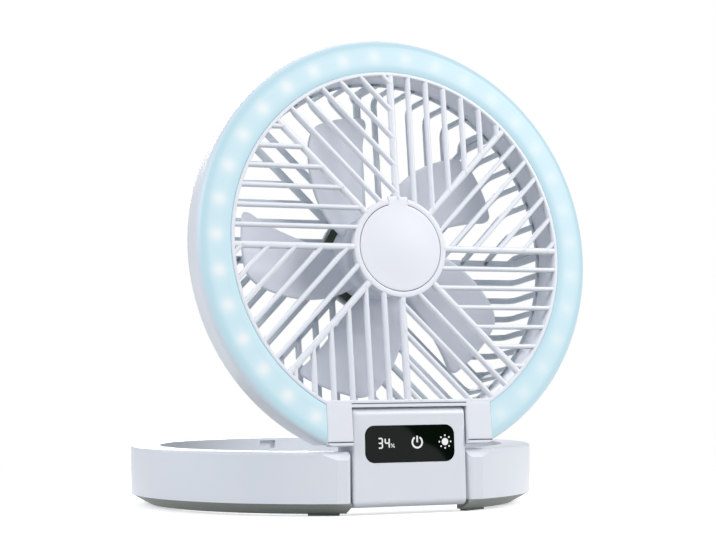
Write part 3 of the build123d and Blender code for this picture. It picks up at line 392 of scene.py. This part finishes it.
# painted shade: the rear guard takes a darker grey-blue than the front guard, standing in for the shade inside
# the head
rearGuardPaintedShadeAbs = mouldedPlastic("satinAbsRearGuardPaintedShade", "#cfd6dd", "#cad2d9", roughness=0.4, edge=0.2)
bladePp = mouldedPlastic("mattPolypropyleneBlade", "#e0e3eb", "#dcdfe8", roughness=0.45, edge=0.3)
seamShade = dullSolid("paintedSeamShadow", "#3f434a", "#393d44", 0.8, 2.0)    # painted shade: the dark standing in for the shadow down in a joint between mouldings
materials = {
    "shell_white": shellAbs,
    "guard_white": guardAbs,
    "lens_lit": litDiffuser(),
    "blade_grey": bladePp,
    "window_black": smokedAcrylic(),
    "board_green": dullSolid("solderMaskGreen", "#3c4634", "#333d2d", 0.4, 3.3),
    "board_white": dullSolid("solderMaskWhite", "#dcdfe0", "#d5d9da", 0.5, 3.3),
    "chip_white": dullSolid("lampPackage", "#eef3f3", "#e6eded", 0.4, 2.0),
    "steel": bareMetal("zincPlatedSteel", "#c3c5c8"),
    "sheet_steel": bareMetal("electricalSteel", "#9fa2a6", roughness=0.4),
    "copper_wire": bareMetal("enamelledCopper", "#b5653a", roughness=0.35, lineSize=(1.1, 1.1, 0.25)),
    "magnet": dullSolid("bondedFerrite", "#26262a", "#1e1e21", 0.6, 1.25),
    "module_black": dullSolid("epoxyBlack", "#121314", "#0c0d0e", 0.35, 2.5),
    "cell_wrap": dullSolid("shrinkWrapBlue", "#5f93c4", "#5789ba", 0.3, 8.3),
    "pad_rubber": dullSolid("siliconeRubber", "#7c8486", "#737b7d", 0.7, 1.1, bump=0.05),
}
for entry in frame["record"]["subparts"]:
    piece = nodes[entry["node"]]
    piece.data.materials.clear()
    piece.data.materials.append(materials[entry["material_slot"]])
# the bottom tray gets the darker tone of painted shade
nodes["base_bottom_tray"].data.materials[0] = trayPaintedShadeAbs
print("materials on", len(nodes), "nodes")

frontGuard = {
    "opening": 90.6, "openingDrop": 78.1,    # air opening: radius, and hub down to its level foot
    "rimWall": 1.9, "depth": 3.0, "edgeRound": 0.45, "rimBackRound": 0.3, "backRound": 0.4,
    "ribs": 8, "ribWidth": 3.4, "ribRound": 1.3, "barWidth": 2.4, "barRound": 1.05, "pitch": 10.2,
    "barReach": 0.5, "barSink": 0.8,         # how far bars run into the rim, and into ribs and foot
    "hubRing": 25.9, "floor": 4.5, "floorEdge": 0.2, "floorBackEdge": 0.3,
    "capRadius": 22.6, "capGap": 0.3, "capDepth": 1.5, "capLift": 0.02, "capEdge": 0.3, "capCrown": 0.6,
    "tabHalf": 5.5, "tabReach": 26.6,
    "seam": (22.3, 23.0, -1.3, -1.45),       # painted shade: a dark ring down in the gap round the cap: inner, outer, top, bottom
    "earInner": 32.2, "earOuter": 46.0, "earTop": 79.5, "earFoot": 99.0, "earThickness": 2.0, "earEdge": 0.35,
}


def swirlLines(guard, outer, inner):
    # straight bars side by side in each sector: angle of the rib, offset to its clockwise side, start, end
    step = 2 * pi / guard["ribs"]
    ribs, bars = [], []
    for index in range(guard["ribs"]):
        angle = pi / 2 - index * step
        ribs.append((angle, 0.0, inner, outer))
        for offset in np.arange(guard["pitch"], outer * sin(step), guard["pitch"]):
            start = max(offset / tan(step), sqrt(max(inner ** 2 - offset ** 2, 0)))
            bars.append((angle, offset, start, sqrt(outer ** 2 - offset ** 2)))
    return np.array(ribs), np.array(bars)


def openingLine(outset, radius, drop, around=200, along=30):
    # outline of the air opening, a circle cut off level below the hub, moved out evenly
    radius, drop = radius + outset, drop + outset
    corner = asin(drop / radius)
    angles = np.linspace(-corner, pi + corner, around)
    level = np.linspace(-radius * cos(corner), radius * cos(corner), along + 2)[1:-1]
    return np.concatenate([np.column_stack([radius * np.cos(angles), radius * np.sin(angles)]),
                           np.column_stack([level, np.full(along, -drop)])])


def frontRimLine(outset):
    return openingLine(outset, frontGuard["opening"], frontGuard["openingDrop"])


def frontBars(lines, width, frontRound):
    # a rounded section along every bar: place = along * distance + clockwise side * (offset + across) + out
    guard = frontGuard
    section = roundedSection(width, guard["depth"], frontRound, guard["backRound"])
    tubes = []
    for angle, offset, start, end in lines:
        along = np.array([cos(angle), sin(angle), 0])
        side = np.array([sin(angle), -cos(angle), 0])
        if along[1] < 0:    # the level foot of the opening cuts the bar short
            end = min(end, (guard["openingDrop"] + guard["barSink"] + offset * side[1]) / -along[1])
        if end <= start:
            continue
        distances = np.linspace(start - guard["barSink"], end, 5)[:, None, None]
        points = (along * distances + side * (offset + section[None, :, :1])
                  + np.array([0, 0, 1]) * section[None, :, 1:])
        tubes.append(closedTube(points))
    return tubes


def rectangleLoop(left, right, low, high, steps=4, radius=0.6):
    # a rectangle's outline with rounded corners; its loopAt moves it out evenly
    def loopAt(outset):
        grow = outset - radius
        return np.concatenate([
            cornerArc(right + grow, high + grow, radius, 0, steps),
            cornerArc(left - grow, high + grow, radius, 90, steps),
            cornerArc(left - grow, low - grow, radius, 180, steps),
            cornerArc(right + grow, low - grow, radius, 270, steps)])
    return loopAt


def capLoop(outset, around=120, steps=5):
    # the hub cap's outline: a circle with a square tab at its top, moved out evenly
    radius, half = frontGuard["capRadius"] + outset, frontGuard["tabHalf"] + outset
    reach = frontGuard["tabReach"] + outset
    first = pi / 2 + asin(half / radius)
    angles = np.linspace(first, first + 2 * pi - 2 * asin(half / radius), around)
    circle = np.column_stack([radius * np.cos(angles), radius * np.sin(angles)])
    climb = np.linspace(sqrt(radius ** 2 - half ** 2), reach, steps + 1)[1:]
    right = np.column_stack([np.full(steps, half), climb])
    top = np.column_stack([np.linspace(half, -half, steps + 2)[1:-1], np.full(steps, reach)])
    left = np.column_stack([np.full(steps, -half), climb[::-1]])
    return np.concatenate([circle, right, top, left])


guard = frontGuard
ribs, bars = swirlLines(guard, guard["opening"] + guard["barReach"], guard["hubRing"])
rimSection = roundedSection(guard["rimWall"], guard["depth"], guard["edgeRound"], guard["rimBackRound"])
rimSection[:, 0] += guard["rimWall"] / 2
ringWidth = guard["hubRing"] - guard["capRadius"] - guard["capGap"]
ringSection = roundedSection(ringWidth, guard["floor"], guard["edgeRound"], guard["backRound"])
ringSection[:, 0] += guard["hubRing"] - ringWidth / 2
tabAngle = np.degrees(asin((guard["tabHalf"] + guard["capGap"]) / guard["hubRing"]))
besideTab = (90 + tabAngle, 450 - tabAngle, 110)    # the ring's first and last angle, and its steps
rim, top, back = guard["hubRing"], -guard["capDepth"], -guard["floor"]
floorProfile = [(0, top), (rim - guard["floorEdge"], top), (rim, top - guard["floorEdge"]),
                (rim, back + guard["floorBackEdge"]), (rim - guard["floorBackEdge"], back), (0, back)]
guardParts = [loopBand(rimSection, frontRimLine)]
guardParts += frontBars(ribs, guard["ribWidth"], guard["ribRound"])
guardParts += frontBars(bars, guard["barWidth"], guard["barRound"])
guardParts += [spun(ringSection, *besideTab), spun(floorProfile)]
for side in (1, -1):
    left, right = sorted((side * guard["earInner"], side * guard["earOuter"]))
    ear = rectangleLoop(left, right, -guard["earFoot"], -guard["earTop"])
    guardParts.append(plate(ear, 0.0, -guard["earThickness"], guard["earEdge"]))
guardPiece = finishHeadPiece("frontGuard", guardParts, guardAbs)
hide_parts("front_grille")

cap = plate(capLoop, 0.0, guard["capLift"] - guard["capDepth"], guard["capEdge"],
            crown=guard["capCrown"], crownReach=guard["capRadius"], rings=18)
capPiece = finishHeadPiece("hubCap", [cap], guardAbs)
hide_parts("hub_cap")
# painted shade: a dark ring sunk in the gap round the hub cap, standing in for the shadow there
inner, outer, top, bottom = guard["seam"]
seam = spun([(inner, top), (outer, top), (outer, bottom), (inner, bottom)], *besideTab)
finishHeadPiece("hubCapSeamShade", [seam], seamShade)

# painted shade of the joints between the moulded pieces, as thin dark strips a hair proud of the face: left,
# right, height
partingShadeStrips = {"width": 0.42, "proud": 0.03, "thick": 0.06, "edge": 0.01, "corner": 0.05,
                "lines": ((-32.2, 32.2, -80.0), (-46.0, -32.2, -99.25), (32.2, 46.0, -99.25))}
half = partingShadeStrips["width"] / 2
top = partingShadeStrips["proud"]
seamParts = [plate(rectangleLoop(left, right, level - half, level + half, radius=partingShadeStrips["corner"]),
                   top, top - partingShadeStrips["thick"], partingShadeStrips["edge"])
             for left, right, level in partingShadeStrips["lines"]]
finishHeadPiece("partingShadeStrips", seamParts, seamShade)
print("front guard", len(guardPiece.data.polygons), "faces")


def lensProfile():
    # closed profile of radius and height: inner wall, flat face, then a quarter ellipse down the shoulder
    inner, shoulder, outer = ringLight["inner"], ringLight["shoulder"], ringLight["outer"]
    skirt, wall = ringLight["skirt"], ringLight["wall"]
    bend = np.radians(np.linspace(90, 0, 15))
    front = np.column_stack([shoulder + (outer - shoulder) * np.cos(bend), -skirt + skirt * np.sin(bend)])
    start = [(inner, -wall), (inner, -0.45), (inner + 0.12, -0.14), (inner + 0.45, 0.0), (inner + 4.0, 0.0)]
    back = [(outer - 1.8, -skirt), (shoulder + 1.6, -wall), (shoulder - 2.0, -wall)]
    return np.concatenate([start, front, back])


# the profile goes round between two upright ends: every point of it stops at the same x
profile = lensProfile()
ends = np.arcsin(ringLight["endHalf"] / profile[:, 0])
share = np.linspace(0, 1, 260)[:, None]
angles = -pi / 2 + ends + share * (2 * pi - 2 * ends)
lensPoints = np.stack([profile[:, 0] * np.cos(angles), profile[:, 0] * np.sin(angles),
                       profile[:, 1] + 0 * angles], axis=-1)
lensPiece = finishHeadPiece("lampLens", [closedTube(lensPoints)], materials["lens_lit"])
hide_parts("light_diffuser")
print("lamp lens")

# the same swirl behind the blades, its bars bent round the edge of a cup
rearGuard = {
    "ribs": 8, "pitch": 10.2, "ribWidth": 4.0, "barWidth": 3.2, "wall": 2.2, "round": 0.7,
    "radius": 91.4, "drop": 79.9, "depth": 45.6, "corner": 5.5, "mouth": 17.0,
    "barSink": 1.0,          # how far bars run into the hub and the ribs
    "hub": 27.0, "hubThickness": 2.4, "hubEdge": 0.4, "hubBackEdge": 0.6,
    "recess": 17.1, "recessSlope": 0.4, "recessDepth": 0.5,    # shallow round recess in the hub's back
    "flangeReach": 3.6, "flangeDrop": 80.3, "flange": 1.6, "flangeRound": 0.3,
}


def cupPath(angle, offset, start, inset):
    # points of one bar on the cup: out along the back, round the corner, then straight up the side wall
    guard = rearGuard
    bend = np.radians(np.linspace(0, 90, 9))
    bendRadius = guard["corner"] - inset
    cutIn = inset + bendRadius * (1 - np.sin(bend))
    height = -guard["depth"] + inset + bendRadius * (1 - np.cos(bend))
    along = np.array([cos(angle), sin(angle)])
    side = np.array([sin(angle), -cos(angle)])
    reach = np.sqrt(np.maximum((guard["radius"] - cutIn) ** 2 - offset ** 2, 0))
    if along[1] < -1e-6:    # the cup's level lower side cuts the bar short
        reach = np.minimum(reach, (guard["drop"] - cutIn + offset * side[1]) / -along[1])
    if reach[-1] < start:    # the bar would start outside the wall
        return None
    reach = np.maximum(reach, start)
    back = np.linspace(start, reach[0], 5)[:-1]
    distance = np.concatenate([back, reach, [reach[-1]]])
    heights = np.concatenate([np.full(4, height[0]), height, [-guard["mouth"]]])
    return np.column_stack([along * distance[:, None] + side * offset, heights])


def flangeLine(outset):
    # the flange follows the cup's wall, and below the hub it stops at the hinge notch
    line = openingLine(outset, rearGuard["radius"], rearGuard["drop"])
    line[:, 1] = np.maximum(line[:, 1], -rearGuard["flangeDrop"])
    return line


def rearBars(lines, width):
    # outer path and inner path of each bar, the section blends from one to the other and spreads sideways
    guard = rearGuard
    section = roundedSection(width, guard["wall"], guard["round"], guard["round"], 3)
    tubes = []
    for angle, offset, start, end in lines:
        outer = cupPath(angle, offset, start - guard["barSink"], 0.0)
        inner = cupPath(angle, offset, start - guard["barSink"], guard["wall"])
        if outer is None or inner is None:
            continue
        outer, inner = outer[:, None, :], inner[:, None, :]
        side = np.array([sin(angle), -cos(angle), 0])
        depth = -section[None, :, 1:] / guard["wall"]
        tubes.append(closedTube(outer + (inner - outer) * depth + side * section[None, :, :1]))
    return tubes


guard = rearGuard
ribs, bars = swirlLines(guard, guard["radius"], guard["hub"] - guard["barSink"])
flangeSection = roundedSection(guard["flangeReach"] + guard["wall"], guard["flange"],
                               guard["flangeRound"], guard["flangeRound"], 2)
flangeSection += np.array([(guard["flangeReach"] - guard["wall"]) / 2, -guard["mouth"]])
back, front, rim = -guard["depth"], -guard["depth"] + guard["hubThickness"], guard["hub"]
floor = back + guard["recessDepth"]
plateProfile = [(0, front), (rim - guard["hubEdge"], front), (rim, front - guard["hubEdge"]),
                (rim, back + guard["hubBackEdge"]), (rim - guard["hubBackEdge"], back), (guard["recess"], back),
                (guard["recess"] - guard["recessSlope"], floor), (0, floor)]
rearParts = rearBars(ribs, guard["ribWidth"]) + rearBars(bars, guard["barWidth"])
rearParts += [loopBand(flangeSection, flangeLine), spun(plateProfile)]
rearPiece = finishHeadPiece("rearGuard", rearParts, rearGuardPaintedShadeAbs)
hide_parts("rear_cage")
print("rear guard", len(rearPiece.data.polygons), "faces")

impeller = {
    "blades": 5, "first": 159.1, "hub": 22.2, "tip": 76.0, "thickness": 2.0, "edgeRound": 1.6,
    "rootSink": 1.2,         # how far a blade runs into the hub
    "leadDepth": 36.6, "rise": 10.0, "camber": 0.35,
    "rootLead": 9.8, "leadCurve": 0.65, "tipSweep": 31.3, "rootSweep": 68.7, "trailCurve": 1.03,
    "leadCorner": 6.0, "trailCorner": 6.5,
    "hubBack": 39.2, "hubFront": 22.8, "hubRound": 3.0, "skin": 1.6, "skinStep": 1.0,
}


def bladeSurface(turn):
    # a closed twisted sheet: radius runs from hub to tip, chord from the leading to the trailing edge, and
    # a blade's half thickness follows a quarter ellipse near every free edge
    fan = impeller
    straightEnd = fan["tip"] - fan["trailCorner"]
    tipBend = np.radians(np.linspace(0, 90, 12))
    radius = np.concatenate([np.linspace(fan["hub"] - fan["rootSink"], straightEnd, 22)[:-1],
                             fan["tip"] - fan["trailCorner"] * (1 - np.sin(tipBend))])[:, None]
    share = np.clip((fan["tip"] - radius) / (fan["tip"] - fan["hub"]), 0, 1)
    lead = fan["rootLead"] * share ** fan["leadCurve"]
    trail = fan["tipSweep"] + (fan["rootSweep"] - fan["tipSweep"]) * share ** fan["trailCurve"]

    def cornerCut(corner):
        # how far a round corner draws the edge in at each radius
        past = np.clip(radius - (fan["tip"] - corner), 0, corner)
        return corner - np.sqrt(corner ** 2 - past ** 2)

    first = lead + np.degrees(cornerCut(fan["leadCorner"]) / radius)
    last = trail - np.degrees(cornerCut(fan["trailCorner"]) / radius)
    chord = (1 - np.cos(np.linspace(0, pi, 33)))[None, :] / 2
    angle = first + (last - first) * chord
    across = (angle - lead) / (trail - lead)
    height = -fan["leadDepth"] + fan["rise"] * (across + fan["camber"] * across * (1 - across))
    fromLead = np.radians(angle - first) * radius
    fromTrail = np.radians(last - angle) * radius
    edge = np.minimum(np.minimum(fromLead, fromTrail), fan["tip"] - radius + 0 * angle)
    inside = np.clip(edge / fan["edgeRound"], 0, 1)
    turned = np.radians(angle + turn)
    sheet = np.stack([radius * np.cos(turned), radius * np.sin(turned), height], axis=-1)
    lift = np.zeros_like(sheet)
    lift[..., 2] = fan["thickness"] / 2 * np.sqrt(1 - (1 - inside) ** 2)
    rows, columns = sheet.shape[:2]
    upper = gridFaces(rows, columns)
    lower = [tuple(index + rows * columns for index in face[::-1]) for face in upper]
    return np.concatenate([(sheet + lift).reshape(-1, 3), (sheet - lift).reshape(-1, 3)]), upper + lower


fan = impeller
bend = np.radians(np.linspace(0, 90, 7))
nose = np.column_stack([fan["hub"] - fan["hubRound"] * (1 - np.cos(bend)),
                        -fan["hubFront"] - fan["hubRound"] * (1 - np.sin(bend))])
inner, under = fan["hub"] - fan["skin"], -fan["hubFront"] - fan["skin"]
hubProfile = [(inner, -fan["hubBack"]), (fan["hub"], -fan["hubBack"]), *nose,
              (0, -fan["hubFront"]), (0, under), (inner, under - fan["skinStep"])]
fanParts = [spun(hubProfile)]
fanParts += [bladeSurface(fan["first"] - 360 / fan["blades"] * index) for index in range(fan["blades"])]
fanPiece = finishHeadPiece("fanBlades", fanParts, bladePp, body="rotor")
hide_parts("impeller")
print("impeller", len(fanPiece.data.polygons), "faces")

# digits and signs printed just proud of the window, in millimetres right and up from its centre
display = {
    "centre": 35.55, "lean": 0.038, "proud": 0.04,
    "digitHeight": 5.5, "digitWidth": 2.9, "stroke": 0.72,
    "digits": (("3", -16.6, 0.5), ("4", -12.8, 0.5)),
    "percent": {"x": -9.75, "y": -0.8, "slash": (0.75, 0.95), "slashStroke": 0.34,
                "ring": (0.7, 0.62), "ringRadius": 0.34, "ringStroke": 0.24},
    "power": {"x": 4.0, "y": 0.75, "radius": 2.75, "stroke": 0.92, "drop": 0.1, "arc": (128, 412),
              "stemHalf": 0.44, "stemFoot": -0.15, "stemTop": 3.15},
    "sun": {"x": 19.75, "y": 0.65, "radius": 1.85, "dots": 8, "dotCircle": 3.2, "dotRadius": 0.46},
}
windowLow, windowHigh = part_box("display_window")
signNormal = Vector((0, -1, display["lean"])).normalized()
signUp = Vector((0, display["lean"], 1)).normalized()
# the window's front face passes through its lowest front edge and leans back with the block
faceAt = windowLow[1] + display["lean"] * (windowHigh[2] - windowLow[2]) / 2


def onWindow(points):
    # window millimetres, right and up, laid on the window's leaning face in metres
    points = np.asarray(points, float) / 1000
    base = np.array([0, faceAt, display["centre"] / 1000]) + np.array(signNormal) * display["proud"] / 1000
    return base + points[:, :1] * np.array([1, 0, 0]) + points[:, 1:] * np.array(signUp)


def disc(x, y, radius, count=40):
    angles = np.linspace(0, 2 * pi, count, endpoint=False)
    return [np.column_stack([x + radius * np.cos(angles), y + radius * np.sin(angles)])]


def arcStroke(x, y, radius, stroke, first, last, count=48):
    # a band of even width along an arc, with round ends
    angles = np.linspace(first, last, count)
    ray = np.column_stack([np.cos(angles), np.sin(angles)])
    outer = (x, y) + (radius + stroke / 2) * ray
    inner = (x, y) + (radius - stroke / 2) * ray
    ends = [(x, y) + radius * ray[index] for index in (0, -1)]
    caps = [shape for end in ends for shape in disc(*end, stroke / 2, 16)]
    return [np.concatenate([outer, inner[::-1]])] + caps


def strokeBar(start, end, stroke):
    # a straight stroke with pointed ends, as a display's segments have
    start, end = np.array(start, float), np.array(end, float)
    along = (end - start) / np.linalg.norm(end - start)
    side = np.array([-along[1], along[0]]) * stroke / 2
    inset = along * stroke / 2
    return [np.array([start, start + inset - side, end - inset - side,
                      end, end - inset + side, start + inset + side])]


def digit(kind, x, y, width, height, stroke):
    # seven segments a to g round a box, of which each digit lights its own
    w, h = width / 2, height / 2
    spots = {"a": ((-w, h), (w, h)), "b": ((w, h), (w, 0)), "c": ((w, 0), (w, -h)), "d": ((-w, -h), (w, -h)),
             "e": ((-w, 0), (-w, -h)), "f": ((-w, h), (-w, 0)), "g": ((-w, 0), (w, 0))}
    shapes = []
    for name in {"3": "abcdg", "4": "bcfg"}[kind]:
        (ax, ay), (bx, by) = spots[name]
        shapes += strokeBar((x + ax, y + ay), (x + bx, y + by), stroke)
    return shapes


def percentSign(sign):
    # a slanted stroke between two small rings
    x, y = sign["x"], sign["y"]
    (slashX, slashY), (ringX, ringY) = sign["slash"], sign["ring"]
    shapes = strokeBar((x - slashX, y - slashY), (x + slashX, y + slashY), sign["slashStroke"])
    for side in (-1, 1):
        shapes += arcStroke(x + side * ringX, y - side * ringY, sign["ringRadius"], sign["ringStroke"],
                            0, 2 * pi - 0.01, 16)
    return shapes


def powerSign(sign):
    # an open ring with an upright stem
    x, y, half = sign["x"], sign["y"], sign["stemHalf"]
    foot, top = y + sign["stemFoot"], y + sign["stemTop"]
    first, last = (radians(angle) for angle in sign["arc"])
    stem = np.array([(x - half, foot), (x + half, foot), (x + half, top), (x - half, top)])
    return arcStroke(x, y - sign["drop"], sign["radius"], sign["stroke"], first, last) + [stem]


def sunSign(sign):
    # a disc in a ring of dots
    x, y, away = sign["x"], sign["y"], sign["dotCircle"]
    shapes = disc(x, y, sign["radius"])
    for index in range(sign["dots"]):
        angle = index * 2 * pi / sign["dots"]
        shapes += disc(x + away * cos(angle), y + away * sin(angle), sign["dotRadius"], 20)
    return shapes


signShapes = []
stroke = display["stroke"]
for kind, x, y in display["digits"]:
    signShapes += digit(kind, x, y, display["digitWidth"] - stroke, display["digitHeight"] - stroke, stroke)
signShapes += percentSign(display["percent"]) + powerSign(display["power"]) + sunSign(display["sun"])
points, faces = joinParts([(onWindow(shape), [range(len(shape))]) for shape in signShapes])
signs = meshPiece("displaySigns", points, faces, smooth=False)
signs.data.materials.append(litSign())
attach(signs, "base")
print("display signs")

studio = {
    "floorSize": 6.0,
    "floorMatt": "#a4a6a5",      # what the floor throws back on the object
    "floorPale": "#f2f2f2",      # what is seen of it near the object, where it keeps the shadow
    "floorGlow": 0.53,
    "shadowEnds": (0.16, 0.42),  # metres from the middle in which the floor turns pure white
    "haze": "#eff2f6", "hazeStrength": 0.50,
}
white = (1, 1, 1, 1)
floorMaterial, tree = newMaterial("paleFloor")
paths = addNode(tree, "ShaderNodeLightPath")
place = addNode(tree, "ShaderNodeTexCoord").outputs["Object"]
length = addNode(tree, "ShaderNodeVectorMath", {"operation": "LENGTH"}, {0: place})
nearEnd, farEnd = studio["shadowEnds"]
far = addNode(tree, "ShaderNodeMapRange", {
    "interpolation_type": "SMOOTHSTEP", "From Min": nearEnd, "From Max": farEnd},
    {"Value": length.outputs["Value"]})
matt = addNode(tree, "ShaderNodeBsdfDiffuse", {"Color": hexColour(studio["floorMatt"])})
pale = addNode(tree, "ShaderNodeBsdfDiffuse", {"Color": hexColour(studio["floorPale"])})
glow = addNode(tree, "ShaderNodeEmission", {"Color": white, "Strength": studio["floorGlow"]})
both = addNode(tree, "ShaderNodeAddShader", links={0: pale.outputs[0], 1: glow.outputs[0]})
plain = addNode(tree, "ShaderNodeEmission", {"Color": white, "Strength": 1.0})
shown = addNode(tree, "ShaderNodeMixShader",
                links={0: far.outputs["Result"], 1: both.outputs[0], 2: plain.outputs[0]})
seen = addNode(tree, "ShaderNodeMath", {"operation": "MAXIMUM"},
               {0: paths.outputs["Is Camera Ray"], 1: paths.outputs["Is Glossy Ray"]})
mixed = addNode(tree, "ShaderNodeMixShader",
                links={0: seen.outputs[0], 1: matt.outputs[0], 2: shown.outputs[0]})
finishMaterial(tree, mixed.outputs[0])
reach = studio["floorSize"]
floorCorners = [(-reach, -reach, 0), (reach, -reach, 0), (reach, reach, 0), (-reach, reach, 0)]
floor = meshPiece("floor", floorCorners, [(0, 1, 2, 3)], smooth=False)
floor.data.materials.append(floorMaterial)

# a black flag that only polished faces mirror: the window's right side stays black under a curved edge
flag = {
    "depth": -0.8,
    "edge": ((0.3270, 0.0790), (0.3286, 0.0746), (0.3335, 0.0724), (0.3373, 0.0704), (0.3400, 0.0674),
             (0.3421, 0.0642), (0.3470, 0.0606), (0.3532, 0.0577), (0.3600, 0.0549), (0.3656, 0.0518),
             (0.3705, 0.0470), (0.3740, 0.0414), (0.3755, 0.0360)),
    "right": 0.46, "top": 0.12, "felt": "#050505",
}
outline = [*flag["edge"], (flag["right"], flag["edge"][-1][1]), (flag["right"], flag["top"]),
           (flag["edge"][0][0], flag["top"])]
flagPiece = meshPiece("blackFlag", [(x, flag["depth"], z) for x, z in outline],
                      [range(len(outline))], smooth=False)
flagMaterial, tree = newMaterial("blackFelt")
felt = addNode(tree, "ShaderNodeBsdfDiffuse", {"Color": hexColour(flag["felt"])})
finishMaterial(tree, felt.outputs[0])
flagPiece.data.materials.append(flagMaterial)
for ray in ("camera", "shadow", "diffuse", "transmission"):
    setattr(flagPiece, "visible_" + ray, False)

world = bpy.data.worlds.new("studio")
scene.world = world
world.use_nodes = True
tree = world.node_tree
tree.nodes.clear()
paths = addNode(tree, "ShaderNodeLightPath")
seen = addNode(tree, "ShaderNodeMath", {"operation": "MAXIMUM"},
               {0: paths.outputs["Is Camera Ray"], 1: paths.outputs["Is Transmission Ray"]})
plain = addNode(tree, "ShaderNodeBackground", {"Color": white, "Strength": 1.0})
haze = addNode(tree, "ShaderNodeBackground", {
    "Color": hexColour(studio["haze"]), "Strength": studio["hazeStrength"]})
choice = addNode(tree, "ShaderNodeMixShader",
                 links={0: seen.outputs[0], 1: haze.outputs[0], 2: plain.outputs[0]})
addNode(tree, "ShaderNodeOutputWorld", links={"Surface": choice.outputs[0]})

lamps = {
    "key": {"place": (1.18, -1.32, 1.10), "size": 0.8, "power": 26.0, "colour": "#ffffff"},
    "fill": {"place": (-1.55, -0.45, 0.95), "size": 0.8, "power": 17.0, "colour": "#f8faff"},
    "top": {"place": (0.1, 0.25, 1.5), "size": 0.9, "power": 2.0, "colour": "#ffffff"},
    "back": {"place": (0.35, 1.60, 0.75), "size": 1.0, "power": 13.0, "colour": "#fbfcff"},
}
aim = Vector((0, -0.07, 0.12))    # the head's lower middle
for name, lamp in lamps.items():
    light = bpy.data.lights.new(name, "AREA")
    light.shape = "DISK"
    light.size = lamp["size"]
    light.energy = lamp["power"]
    light.color = hexColour(lamp["colour"])[:3]
    lightObject = bpy.data.objects.new(name, light)
    scene.collection.objects.link(lightObject)
    place = Vector(lamp["place"])
    lightObject.location = place
    lightObject.rotation_euler = (aim - place).to_track_quat("-Z", "Y").to_euler()

view = {"place": (-0.42792, -0.98441, 0.07470), "turn": (92.8581, 0.2770, -24.3861), "lens": 97.025}
cameraData = bpy.data.cameras.new("camera")
cameraData.lens = view["lens"]
cameraData.sensor_width = 36.0
cameraData.clip_start = 0.01
camera = bpy.data.objects.new("camera", cameraData)
scene.collection.objects.link(camera)
camera.location = view["place"]
camera.rotation_euler = [radians(angle) for angle in view["turn"]]
scene.camera = camera
print("floor, light and camera")
